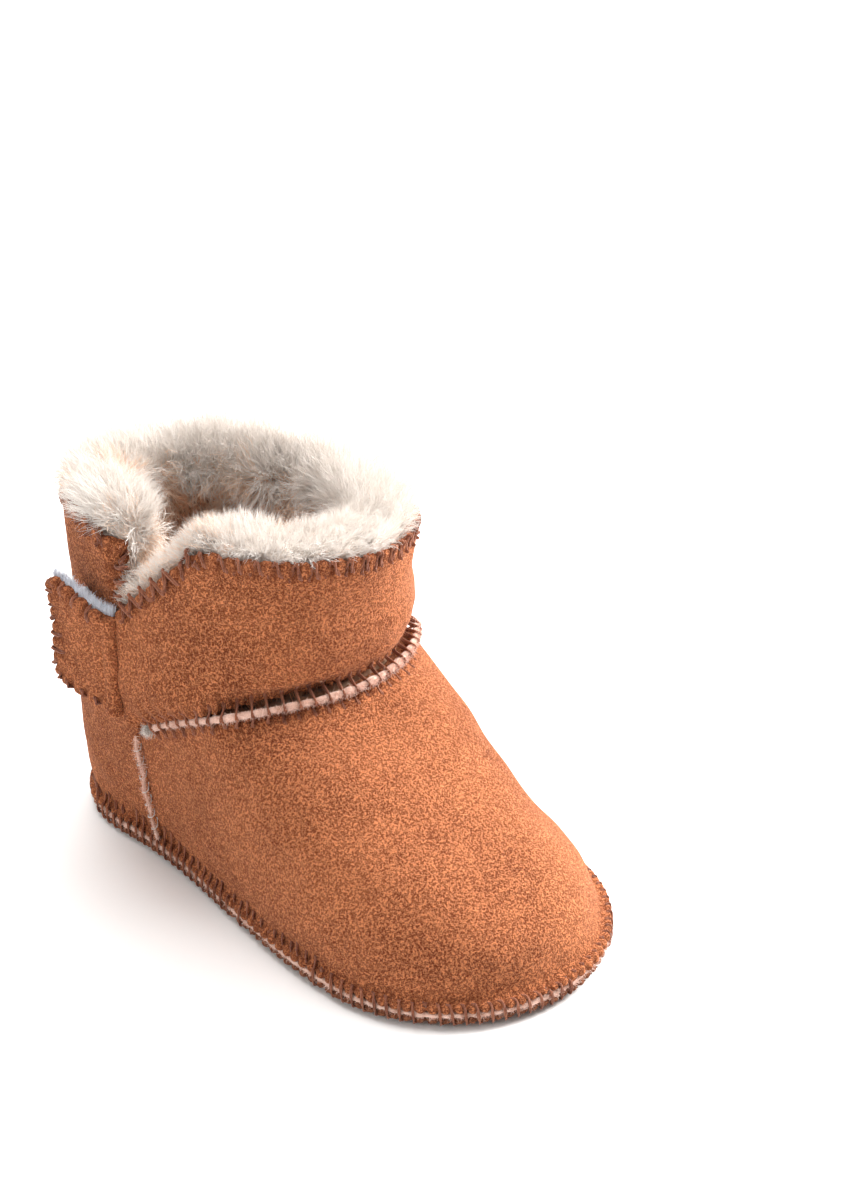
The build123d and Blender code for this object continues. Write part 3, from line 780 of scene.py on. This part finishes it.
def whip_paths(seam, leathers, radius, reach, ridge, seed):
    """One path for each stitch of a butted seam: out of the lower leather, over the wool, into the upper."""
    edge, along, out, across, half, bite = seam
    random = np.random.default_rng(seed)
    count = len(edge)
    lean = 0.3 * MM * random.uniform(0.4, 1.6, count)[:, None]
    jitter = random.normal(0, 0.1 * MM, count)[:, None]
    reach = reach * random.uniform(0.88, 1.1, count)[:, None]

    def on_leather(share, rise):
        place = edge + across * reach * share + along * (lean * share + jitter)
        return laid(place, out, leathers, 5 * MM) + out * rise

    knots = [
        on_leather(-1.0, -2.5 * radius),
        on_leather(-0.92, 0.2 * radius),
        on_leather(-0.55, 0.7 * radius),
        edge + out * (ridge + 0.2 * radius) - across * 0.3 * MM,
        edge + out * (ridge + 0.2 * radius) + across * 0.3 * MM,
        on_leather(0.55, 0.7 * radius),
        on_leather(0.92, 0.2 * radius),
        on_leather(1.0, -2.5 * radius),
    ]
    return curve_through(np.stack(knots, 1), 20), along


# %% [markdown]
# Thread is matt and a shade darker than the leather. The colour changes a little from stitch to
# stitch, and a fine twill of noise stands for its fibres.

# %% Thread material


def thread_material(name, deep, pale):
    material, tree, shader = new_material(name)
    place = tree.nodes.new("ShaderNodeTexCoord").outputs["Object"]
    tone = spread(tree, noise(tree, place, 260, 3), 0.3, 0.7)
    fibre = spread(tree, noise(tree, place, 3200, 2), 0.3, 0.7)
    shade = maths(tree, "MULTIPLY_ADD", fibre, 0.45, maths(tree, "MULTIPLY", tone, 0.55))
    tree.links.new(mix(tree, shade, (*deep, 1), (*pale, 1)), shader.inputs["Base Color"])
    add_bump(tree, shader, fibre, 0.5, 0.1 * MM)
    shader.inputs["Roughness"].default_value = 0.8
    shader.inputs["Specular IOR Level"].default_value = 0.25
    shader.inputs["Sheen Weight"].default_value = 0.2
    return material


BROWN_THREAD = thread_material("brown_thread", (0.12, 0.03, 0.013), (0.36, 0.13, 0.065))
PALE_THREAD = thread_material("pale_thread", (0.6, 0.56, 0.55), (0.85, 0.8, 0.78))

# %% Overlock every edge
WOOL_CORD = 0.66 * MM
SEAM_WORK = {
    "sole_seam_stitching": ((VAMP, HEEL, SOLE), 0.25 * MM, BROWN_THREAD, "upper", "thread"),
    "ankle_seam_stitching": ((VAMP, CUFF), 0.3 * MM, BROWN_THREAD, "upper", "thread"),
    "side_seam_stitching_outer": ((), 0.1 * MM, PALE_THREAD, "upper", "tape_thread"),
    "side_seam_stitching_inner": ((), 0.1 * MM, PALE_THREAD, "upper", "tape_thread"),
    "heel_edge_stitching": ((HEEL,), 0.33 * MM, BROWN_THREAD, "upper", "thread"),
    "cuff_edge_stitching": ((CUFF,), 0.33 * MM, BROWN_THREAD, "upper", "thread"),
    "cuff_end_stitching": ((CUFF,), 0.33 * MM, BROWN_THREAD, "upper", "thread"),
    "tab_edge_stitching": ((TAB,), 0.33 * MM, BROWN_THREAD, "tab", "thread"),
}


def sew_seams():
    depsgraph = bpy.context.evaluated_depsgraph_get()
    for number, (name, (leathers, radius, material, body, slot)) in enumerate(SEAM_WORK.items()):
        trees = [BVHTree.FromObject(leather, depsgraph) for leather in leathers]
        if name == "ankle_seam_stitching":
            paths, axis = whip_paths(SEAMS[name], trees, radius, 2.5 * MM, WOOL_CORD, 20 + number)
        else:
            paths, axis = overlock_paths(SEAMS[name], trees, radius, seed=20 + number)
        points, faces = two_ply(paths, axis, radius)
        piece = mesh_piece(name.replace("_stitching", "_thread"), points, faces)
        finish_piece(piece, material, body, name)
        print(f"{piece.name}: {len(piece.data.polygons)} faces")


sew_seams()

# %% [markdown]
# ## Wool
#
# Wool is many thousands of curled fibres that stick together in locks. A plain lumpy surface gives
# the wool its body, and ribbons of four small faces stand on it as fibres. The fibres of one lock
# lean to a shared tip, which is what makes wool look like wool and not like grass. Each fibre
# piece has one plain colour, and several pieces of near tones are mixed over the same ground.

# %% Fibres
WHITE_WOOL, PINK_WOOL = 0, 4    # places in the list of tones
WOOL_TONES = [
    ("ivory_wool", (0.87, 0.82, 0.775)),
    ("cream_wool", (0.9, 0.68, 0.53)),
    ("beige_wool", (0.86, 0.53, 0.34)),
    ("brown_wool", (0.64, 0.31, 0.16)),
    ("seam_wool", (0.88, 0.62, 0.52)),
]


def wool_material(name, color):
    material, _, shader = new_material(name)
    shader.inputs["Base Color"].default_value = (*color, 1)
    shader.inputs["Roughness"].default_value = 0.75
    shader.inputs["Specular IOR Level"].default_value = 0.2
    shader.inputs["Sheen Weight"].default_value = 0.3
    return material


FIBRE_MATERIALS = [wool_material(name, color) for name, color in WOOL_TONES]


def scatter(piece, count, weight, seed):
    """Random places on a mesh: points and normals, denser where weight(points) is higher."""
    random = np.random.default_rng(seed)
    mesh = piece.data
    mesh.calc_loop_triangles()
    corners = np.empty(len(mesh.loop_triangles) * 3, np.int32)
    mesh.loop_triangles.foreach_get("vertices", corners)
    corners = corners.reshape(-1, 3)
    points, normals = points_of(piece), normals_of(piece)
    a, b, c = (points[corners[:, i]] for i in range(3))
    area = np.linalg.norm(np.cross(b - a, c - a), axis=1) / 2
    middle = (a + b + c) / 3
    share = area * weight(middle, unit(np.cross(b - a, c - a)))
    pick = random.choice(len(share), count, p=share / share.sum())
    u, v = random.random(count), random.random(count)
    flip = u + v > 1
    u[flip], v[flip] = 1 - u[flip], 1 - v[flip]
    where = a[pick] + u[:, None] * (b - a)[pick] + v[:, None] * (c - a)[pick]
    return where, unit(normals[corners[pick]].sum(1))


def lock_of(points, locks, seed):
    """Assigns every fibre to a lock and gives the lock's root."""
    random = np.random.default_rng(seed)
    chosen = points[random.choice(len(points), min(locks, len(points)), replace=False)]
    return chosen, near(points, chosen)[1]


def fibres(roots, directions, lengths, width, locks, seed, cling=0.6, curl=0.35, droop=0.0):
    """Ribbons of three squares and a tip, as points and faces. Each fibre leans to its lock's tip."""
    random = np.random.default_rng(seed)
    count = len(roots)
    lock_roots, lock = lock_of(roots, locks, seed + 1)
    locks = len(lock_roots)
    first = np.zeros(locks, int)
    first[lock] = np.arange(count)
    lock_direction = unit(directions[first] + random.normal(0, 0.28, (locks, 3)))
    lock_length = np.bincount(lock, lengths, locks) / np.maximum(np.bincount(lock, minlength=locks), 1)
    lock_tip = lock_roots + lock_direction * lock_length[:, None]
    own_tip = roots + unit(directions + random.normal(0, 0.3, (count, 3))) * lengths[:, None]
    hold = cling * random.uniform(0.6, 1.15, count)[:, None]
    tip = own_tip * (1 - hold) + lock_tip[lock] * hold + random.normal(0, 0.25 * MM, (count, 3))
    tip[:, 2] -= droop * lengths
    bend = roots + directions * (lengths * 0.55)[:, None]
    side = unit(np.cross(tip - roots, random.normal(size=(count, 3))))
    lift = unit(np.cross(tip - roots, side))
    swing = (curl * lengths * random.uniform(0.3, 1.0, count))[:, None]
    phase = random.uniform(0, 2 * np.pi, count)[:, None]
    steps = 4
    rows = []
    for k in range(steps + 1):
        t = k / steps
        centre = roots * (1 - t) ** 2 + bend * 2 * t * (1 - t) + tip * t * t
        wave = np.sin(phase + t * 5.5) - np.sin(phase)
        rock = np.cos(phase + t * 4.5) - np.cos(phase)
        centre = centre + side * wave * swing * 0.16 + lift * rock * swing * 0.16
        rows.append(centre)
    rows = np.stack(rows, 1)
    wide = unit(np.cross(np.gradient(rows, axis=1), side[:, None] * 0.4 + lift[:, None]))
    half = width * random.uniform(0.6, 1.2, count)[:, None, None] / 2
    thin = np.linspace(1, 0.45, steps)[None, :, None]
    left = rows[:, :steps] - wide[:, :steps] * half * thin
    right = rows[:, :steps] + wide[:, :steps] * half * thin
    points = np.concatenate([left, right, rows[:, steps:]], 1)
    stride = 2 * steps + 1
    base = (np.arange(count) * stride)[:, None, None]
    k = np.arange(steps - 1)
    quads = np.stack([k, k + 1, steps + k + 1, steps + k], -1)[None] + base
    tips = np.array([[steps - 1, 2 * steps, 2 * steps - 1]])[None] + base
    return points.reshape(-1, 3), [quads.reshape(-1, 4), tips.reshape(-1, 3)]


# %% [markdown]
# The collar slopes, so "how deep inside" is measured from a plane through its stitches. Depth sets
# the wool's tone: ivory on the rim, cream below it, and beige and brown down in the throat.

# %% The collar's plane
flat_fit = np.concatenate(
    [SEAMS[n][0][SEAMS[n][2][:, 2] > 0.9] for n in ("heel_edge_stitching", "cuff_edge_stitching")]
)
slope_x, slope_y, collar_base = np.linalg.lstsq(
    np.c_[flat_fit[:, :2], np.ones(len(flat_fit))], flat_fit[:, 2], rcond=None
)[0]
collar_middle = (flat_fit.max(0) + flat_fit.min(0)) / 2
print("collar plane", round(slope_x, 3), round(slope_y, 3), round(collar_base / MM, 1))


def depth_of(points):
    """Distance below the collar."""
    return collar_base + slope_x * points[:, 0] + slope_y * points[:, 1] - points[:, 2]


# %% Wool bodies


def wool_body_material():
    material, tree, shader = new_material("wool_ground")
    place = tree.nodes.new("ShaderNodeTexCoord").outputs["Object"]
    depth = tree.nodes.new("ShaderNodeAttribute")
    depth.attribute_name = "depth"
    streak = spread(tree, noise(tree, place, 240, 4), 0.35, 0.65, -0.16, 0.16)
    level = maths(tree, "ADD", depth.outputs["Fac"], streak)
    ramp = tree.nodes.new("ShaderNodeValToRGB")
    ramp.color_ramp.elements[0].position = 0.1
    ramp.color_ramp.elements[0].color = (0.88, 0.8, 0.73, 1)
    ramp.color_ramp.elements[1].position = 0.8
    ramp.color_ramp.elements[1].color = (0.4, 0.2, 0.11, 1)
    middle = ramp.color_ramp.elements.new(0.22)
    middle.color = (0.8, 0.5, 0.34, 1)
    tree.links.new(level, ramp.inputs["Fac"])
    tree.links.new(ramp.outputs["Color"], shader.inputs["Base Color"])
    add_bump(tree, shader, noise(tree, place, 900, 4), 0.9, 0.6 * MM)
    shader.inputs["Roughness"].default_value = 0.95
    shader.inputs["Sheen Weight"].default_value = 0.3
    return material


WOOL_GROUND = wool_body_material()
DEEPEST = 34 * MM
CROWN = 1.6 * MM


def wool_body(node, name, lump=0.5 * MM, shrink=0.6 * MM):
    piece = even_skin(node, name, 0.75 * MM, rounds=5)
    points, normals = points_of(piece), normals_of(piece)
    lift = lump * (waves(points, 3.2 * MM, 41) + 0.6 * waves(points, 1.7 * MM, 42)) - shrink
    points += normals * lift[:, None]
    crown = np.exp(-(((depth_of(points) - 0.5 * MM) / (2.6 * MM)) ** 2)) * (depth_of(points) < 12 * MM)
    points[:, 2] += CROWN * crown
    move_points(piece, points)
    depth = np.clip(depth_of(points) / DEEPEST, 0, 1)
    layer = piece.data.attributes.new("depth", "FLOAT", "POINT")
    layer.data.foreach_set("value", depth.astype(np.float32))
    finish_piece(piece, WOOL_GROUND, "upper", node)
    return piece


CUFF_WOOL = wool_body("cuff_fleece", "cuff_wool")
HEEL_WOOL = wool_body("heel_fleece", "heel_wool")
wool_body("vamp_fleece", "vamp_wool")
wool_body("sole_fleece", "footbed_wool")

# %% [markdown]
# Fibres on the rim stand up and lean either way over the edge. On the inner wall they point into
# the throat and hang down. A fibre that would have to pass through leather is left out.

# %% Collar and throat fibres
depsgraph = bpy.context.evaluated_depsgraph_get()
LEATHER_WALLS = [BVHTree.FromObject(piece, depsgraph) for piece in (CUFF, HEEL, VAMP)]


def uncovered(roots, directions, lengths):
    """False for a fibre that would have to pass through leather."""
    free = np.ones(len(roots), bool)
    for i, (root, way, length) in enumerate(zip(roots, directions, lengths)):
        start, way = Vector(root), Vector(way)
        free[i] = not any(wall.ray_cast(start, way, length * 1.2)[0] for wall in LEATHER_WALLS)
    return free


def fibre_directions(points, normals, seed):
    random = np.random.default_rng(seed)
    depth = depth_of(points)
    away = unit((points - collar_middle) * (1, 1, 0))
    rim = np.clip(1 - depth / (5 * MM), 0, 1)[:, None]
    up = np.array([0, 0, 1.0])
    lean = waves(points, 6 * MM, seed + 3)[:, None]
    from_middle = np.linalg.norm((points - collar_middle) * (1, 1, 0), axis=1)[:, None]
    outer = np.clip((from_middle - 21 * MM) / (4 * MM), 0, 1)
    on_rim = up * (1.0 - 0.3 * outer) + normals * 0.5 + away * (0.35 * lean + 0.8 * outer)
    inside = normals * 0.9 - up * (0.35 + 0.3 * lean) + away * 0.1
    return unit(on_rim * rim + inside * (1 - rim) + random.normal(0, 0.16, points.shape))


def tone_of(points, seed):
    """A wool tone for each fibre from its depth, in streaks."""
    random = np.random.default_rng(seed)
    level = (depth_of(points) - 1 * MM) / (4.5 * MM) + 0.75 * waves(points * (1, 1, 0.3), 3.2 * MM, seed + 9)
    level += random.normal(0, 0.4, len(points))
    return np.clip(np.floor(level), 0, 3).astype(int)


def wool_on(body, label, count, seed, length, top, bottom, width=0.13 * MM, locks=900):
    """Stands fibres on a wool body between two depths and makes one piece for each tone."""

    def weight(middle, normal):
        depth = depth_of(middle)
        away = unit((middle - collar_middle) * (1, 1, 0))
        inner = (normal * away).sum(1) < 0.35
        return ((depth > top) & (depth < bottom) & (inner | (depth < 1.5 * MM))).astype(float)

    roots, normals = scatter(body, count, weight, seed)
    directions = fibre_directions(roots, normals, seed)
    random = np.random.default_rng(seed + 5)
    lengths = length * random.uniform(0.6, 1.2, count)
    at_back = np.clip((roots[:, 1] - 12 * MM) / (20 * MM), 0, 1)
    at_back += np.clip((roots[:, 0] - 8 * MM) / (12 * MM), 0, 1)
    lengths *= 1 + 0.6 * at_back * (depth_of(roots) < 5 * MM)
    tones = tone_of(roots, seed)
    free = uncovered(roots, directions, lengths)
    roots, directions, lengths, tones = roots[free], directions[free], lengths[free], tones[free]
    for tone, (tone_name, _) in enumerate(WOOL_TONES[:4]):
        chosen = tones == tone
        if chosen.sum() < 40:
            continue
        share = max(int(locks * chosen.mean()), 12)
        these = roots[chosen], directions[chosen], lengths[chosen]
        points, faces = fibres(*these, width, share, seed + tone * 7)
        piece = mesh_piece(f"{label}_{tone_name}", points, faces)
        finish_piece(piece, FIBRE_MATERIALS[tone], "upper", None)
        print(f"{piece.name}: {chosen.sum()} fibres")


def notch_wool():
    """A thick fluff that spills over the slope between the heel piece and the cuff band."""
    count = 13000

    def weight(middle, normal):
        beside = (middle[:, 0] < -14 * MM) & (middle[:, 1] > 5 * MM) & (middle[:, 1] < 27 * MM)
        return (beside & (middle[:, 2] > 49 * MM) & (normal[:, 0] < 0.5)).astype(float)

    for number, (body, share) in enumerate(((CUFF_WOOL, 0.75), (HEEL_WOOL, 0.25))):
        some = int(count * share)
        roots, normals = scatter(body, some, weight, 91 + number)
        random = np.random.default_rng(95 + number)
        directions = unit(normals * 0.5 + np.array([-0.55, 0.25, 0.8]) + random.normal(0, 0.25, roots.shape))
        lengths = 4.6 * MM * random.uniform(0.6, 1.2, some)
        tone = (random.random(some) < 0.3).astype(int)
        free = uncovered(roots, directions, lengths)
        free &= uncovered(roots, unit(directions - np.array([0.5, 0, 0])), lengths)
        for k, label in ((0, "ivory"), (1, "cream")):
            pick = (tone == k) & free
            points, faces = fibres(roots[pick], directions[pick], lengths[pick], 0.12 * MM, 160, 97 + k)
            piece = mesh_piece(f"notch_wool_{number}_{label}", points, faces)
            finish_piece(piece, FIBRE_MATERIALS[k], "upper", None)


notch_wool()
wool_on(CUFF_WOOL, "cuff_rim", 17000, 51, 4.2 * MM, -3 * MM, 6 * MM)
wool_on(HEEL_WOOL, "heel_rim", 17000, 52, 4.4 * MM, -3 * MM, 6 * MM)
wool_on(CUFF_WOOL, "cuff_wall", 11000, 53, 6.0 * MM, 6 * MM, 30 * MM, 0.16 * MM, 500)
wool_on(HEEL_WOOL, "heel_wall", 14000, 54, 6.5 * MM, 6 * MM, 36 * MM, 0.16 * MM, 600)

# %% [markdown]
# ## Wool in the seams
#
# Where two leathers are sewn face to face, the wool of both is pressed out between them as a pale,
# slightly pink line. It is a lumpy cord with short fuzz.

# %% Seam wool


def seam_ground_material():
    material, tree, shader = new_material("seam_wool_ground")
    place = tree.nodes.new("ShaderNodeTexCoord").outputs["Object"]
    tone = spread(tree, noise(tree, place, 500, 4, 0.65), 0.3, 0.7)
    tree.links.new(mix(tree, tone, (0.5, 0.27, 0.19, 1), (0.86, 0.62, 0.52, 1)), shader.inputs["Base Color"])
    add_bump(tree, shader, noise(tree, place, 1600, 3), 0.8, 0.3 * MM)
    shader.inputs["Roughness"].default_value = 0.95
    shader.inputs["Sheen Weight"].default_value = 0.3
    return material


SEAM_GROUND = seam_ground_material()


def cord_along(places, closed, radius, seed, sides=10):
    """A lumpy cord through places, pinched at each of them."""
    if closed:
        places = np.concatenate([places, places[:1]])
    spans = np.linalg.norm(np.diff(places, axis=0), axis=1)
    length = np.r_[0, np.cumsum(spans)]
    steps = int(length[-1] / (0.3 * MM))
    s = np.linspace(0, length[-1], steps)
    path = np.stack([np.interp(s, length, places[:, k]) for k in range(3)], 1)
    for _ in range(6):
        path[1:-1] = (path[:-2] + 2 * path[1:-1] + path[2:]) / 4
    stitch = np.interp(s, length, np.arange(len(places)))
    pinch = 1 - 0.14 * (0.5 + 0.5 * np.cos(2 * np.pi * stitch))
    lumps = 1 + 0.16 * waves(path, 1.6 * MM, seed)
    points, faces = tubes(path[None], np.array([[0, 0, 1.0]]), (radius * pinch * lumps)[None], sides)
    return points, faces


def seam_order(name):
    """The stitches of a seam in walking order round the foot."""
    edge = SEAMS[name][0]
    if "side" in name:
        return np.argsort(edge[:, 2])
    middle = 30 * MM if "ankle" in name else 0
    return np.argsort(np.arctan2(edge[:, 0], middle - edge[:, 1]))


def seam_wool(node, name, radius, sink, count, length, seed, tone=PINK_WOOL):
    stitches = node.replace("_fleece", "_stitching")
    order = seam_order(stitches)
    edge, out = SEAMS[stitches][0][order], SEAMS[stitches][2][order]
    closed = "sole" in node
    if "side" in node:
        low, high = 2 * edge[0] - edge[1], 2 * edge[-1] - edge[-2]
        edge, out = np.vstack([low, edge, high]), np.vstack([out[:1], out, out[-1:]])
        wander = 0.5 * MM * waves(edge, 3 * MM, seed)
        edge = edge + np.outer(wander, (0, 1, 0))
    points, faces = cord_along(edge - out * sink, closed, radius, seed)
    cord = mesh_piece(name, points, faces)
    finish_piece(cord, SEAM_GROUND, "upper", node)
    tree = kdtree.KDTree(len(edge))
    for i, place in enumerate(edge):
        tree.insert(place, i)
    tree.balance()

    def weight(middle, normal):
        nearest = np.array([tree.find(m)[1] for m in middle])
        return np.clip((normal * out[nearest]).sum(1) + 0.1, 0, 1)

    roots, normals = scatter(cord, count, weight, seed)
    random = np.random.default_rng(seed)
    lengths = length * random.uniform(0.4, 1.3, count)
    directions = unit(normals + random.normal(0, 0.45, normals.shape))
    points, faces = fibres(roots, directions, lengths, 0.08 * MM, max(count // 10, 4), seed, 0.4, 0.6)
    fuzz = mesh_piece(name + "_fuzz", points, faces)
    finish_piece(fuzz, FIBRE_MATERIALS[tone], "upper", None)


seam_wool("ankle_seam_fleece", "ankle_seam_wool", WOOL_CORD, 0 * MM, 4200, 0.9 * MM, 61)
seam_wool("sole_seam_fleece", "sole_seam_wool", 0.5 * MM, 0.6 * MM, 6500, 0.7 * MM, 62)
seam_wool("side_seam_fleece_outer", "side_seam_wool_outer", 0.3 * MM, 0.35 * MM, 800, 0.8 * MM, 63)
seam_wool("side_seam_fleece_inner", "side_seam_wool_inner", 0.3 * MM, 0.35 * MM, 800, 0.8 * MM, 64)

# %% [markdown]
# Where the side seam runs into the ankle seam, a tuft of wool always works its way out.

# %% Tufts


def tuft(name, at, out, size, count, seed):
    random = np.random.default_rng(seed)
    spread_out = unit(out + random.normal(0, 0.75, (count, 3)))
    roots = at + spread_out * random.uniform(0, 0.7, (count, 1)) * size * 0.5
    lengths = size * random.uniform(0.4, 1.1, count)
    points, faces = fibres(roots, spread_out, lengths, 0.1 * MM, 16, seed, 0.6, 0.8)
    piece = mesh_piece(name, points, faces)
    finish_piece(piece, FIBRE_MATERIALS[WHITE_WOOL], "upper", None)


for side, sign in (("outer", -1), ("inner", 1)):
    order = seam_order("ankle_seam_stitching")
    end = order[0] if sign < 0 else order[-1]
    seam = SEAMS["ankle_seam_stitching"]
    at = seam[0][end] + np.array([0, 1.2, -0.9]) * MM
    tuft(f"tuft_{side}", at, np.array([sign, 0, 0.0]), 2.0 * MM, 420, 71)

# %% [markdown]
# ## Hook and loop
#
# The closure is a strip of nylon hooks inside the tab and a strip of loops on the heel piece. Both
# are thin tapes with a bluish-white cast, sewn on round the rim with pale thread.

# %% Tapes


def tape_material(name, deep, pale, scale):
    material, tree, shader = new_material(name)
    place = tree.nodes.new("ShaderNodeTexCoord").outputs["Object"]
    cells = tree.nodes.new("ShaderNodeTexVoronoi")
    cells.inputs["Scale"].default_value = scale
    tree.links.new(place, cells.inputs["Vector"])
    tone = spread(tree, cells.outputs["Distance"], 0.05, 0.6)
    tree.links.new(mix(tree, tone, (*pale, 1), (*deep, 1)), shader.inputs["Base Color"])
    add_bump(tree, shader, tone, 0.9, 0.3 * MM, invert=True)
    shader.inputs["Roughness"].default_value = 0.5
    return material


HOOK_TAPE = tape_material("hook_tape", (0.5, 0.54, 0.66), (0.86, 0.88, 0.94), 1500)
LOOP_TAPE = tape_material("loop_tape", (0.5, 0.5, 0.55), (0.8, 0.8, 0.84), 1100)


TAPE_RISE = 1.5 * MM


def make_tape(node, name, material, body):
    piece = even_skin(node, name, 0.25 * MM, rounds=1)
    if body == "tab":
        points = points_of(piece)
        low, high = points[:, 2].min(), points[:, 2].max()
        points[:, 2] += TAPE_RISE * np.clip((points[:, 2] - low) / (high - low), 0, 1) ** 2
        move_points(piece, shape_tab(points))
    finish_piece(piece, material, body, node)


make_tape("hook_strip", "hook_tape_strip", HOOK_TAPE, "tab")
make_tape("loop_strip", "loop_tape_strip", LOOP_TAPE, "upper")

for node, body in (("hook_strip_stitching", "tab"), ("loop_strip_stitching", "upper")):
    piece = even_skin(node, node.replace("_stitching", "_thread"), 0.1 * MM, rounds=1)
    if body == "tab":
        move_points(piece, shape_tab(points_of(piece)))
    finish_piece(piece, PALE_THREAD, body, node)

# %% [markdown]
# The wool on the inside of the tab shows as a bluish-white fringe along its upper edge.

# %% Fringe of the tab


def tab_fringe(count=1800):
    edge, along, out, across, half, bite = SEAMS["tab_edge_stitching"]
    random = np.random.default_rng(81)
    top = np.flatnonzero(out[:, 2] > 0.6)
    top = top[np.argsort(edge[top, 1])]
    line = np.vstack([HINGE * (1, 1, 0) + np.array([0, 0, edge[top[0], 2] - 1.5 * MM]), edge[top]])
    share = random.uniform(0, len(line) - 1.001, count)
    i = share.astype(int)
    roots = line[i] + (line[i + 1] - line[i]) * (share - i)[:, None]
    roots = roots - TAB_NORMAL * random.uniform(0.9, 1.6, (count, 1)) * MM
    roots[:, 2] -= random.uniform(0.2, 1.6, count) * MM
    ways = unit(np.array([0, 0.1, 1.0]) - TAB_NORMAL * 0.45 + random.normal(0, 0.25, roots.shape))
    lengths = 1.9 * MM * random.uniform(0.5, 1.2, count)
    points, faces = fibres(roots, ways, lengths, 0.11 * MM, 90, 82, 0.5, 0.5)
    piece = mesh_piece("tab_fringe", shape_tab(points), faces)
    finish_piece(piece, wool_material("blue_white_wool", (0.8, 0.83, 0.9)), "tab", None)


tab_fringe()

# %% [markdown]
# ## Floor and light
#
# The bootie stands on a white sweep under soft light. The main light is a large panel high on the
# toe side, a weaker one fills from the heel side, and the white world lifts the shadows.

# %% Floor and lights


def make_floor():
    material, _, shader = new_material("white_floor")
    shader.inputs["Base Color"].default_value = (0.93, 0.925, 0.92, 1)
    shader.inputs["Roughness"].default_value = 0.7
    size, rise, back = 3.0, 1.2, 0.9
    steps = 24
    profile = [(-size, 0.0), (back - 0.5, 0.0)]
    for k in range(steps + 1):
        a = k / steps * math.pi / 2
        profile.append((back - 0.5 + 0.5 * math.sin(a), 0.5 - 0.5 * math.cos(a)))
    profile.append((back, rise))
    a = math.radians(CAMERA_AZIMUTH)
    right = np.array([math.cos(a), math.sin(a), 0])
    away = np.array([-math.sin(a), math.cos(a), 0])
    rows = np.array([[away * d + (0, 0, z) + right * s * size for s in (-1, 1)] for d, z in profile])
    k = np.arange(len(profile) - 1) * 2
    floor = mesh_piece("floor", rows.reshape(-1, 3), [np.stack([k, k + 1, k + 3, k + 2], -1)])
    floor.data.materials.append(material)


def area_light(name, position, size, power, color=(1, 1, 1)):
    light = bpy.data.objects.new(name, bpy.data.lights.new(name, "AREA"))
    bpy.context.scene.collection.objects.link(light)
    light.data.shape = "DISK"
    light.data.size = size
    light.data.energy = power
    light.data.color = color
    light.location = Vector(position)
    light.rotation_euler = (Vector((0, 0, 0.03)) - light.location).to_track_quat("-Z", "Y").to_euler()


make_floor()
area_light("key_panel", (0.8, -0.3, 0.55), 0.6, 25.0, (1.0, 0.985, 0.965))
area_light("fill_panel", (-0.8, 0.15, 0.45), 0.5, 2.0, (1.0, 0.99, 0.98))
area_light("top_panel", (0.05, 0.2, 1.0), 0.6, 8.0)
world = bpy.data.worlds.new("white_room")
world.use_nodes = True
world.node_tree.nodes["Background"].inputs["Color"].default_value = (1.0, 0.98, 0.955, 1)
world.node_tree.nodes["Background"].inputs["Strength"].default_value = 0.5
bpy.context.scene.world = world
bpy.context.scene.view_settings.view_transform = "Standard"

# %% Update the view layer
bpy.context.view_layer.update()
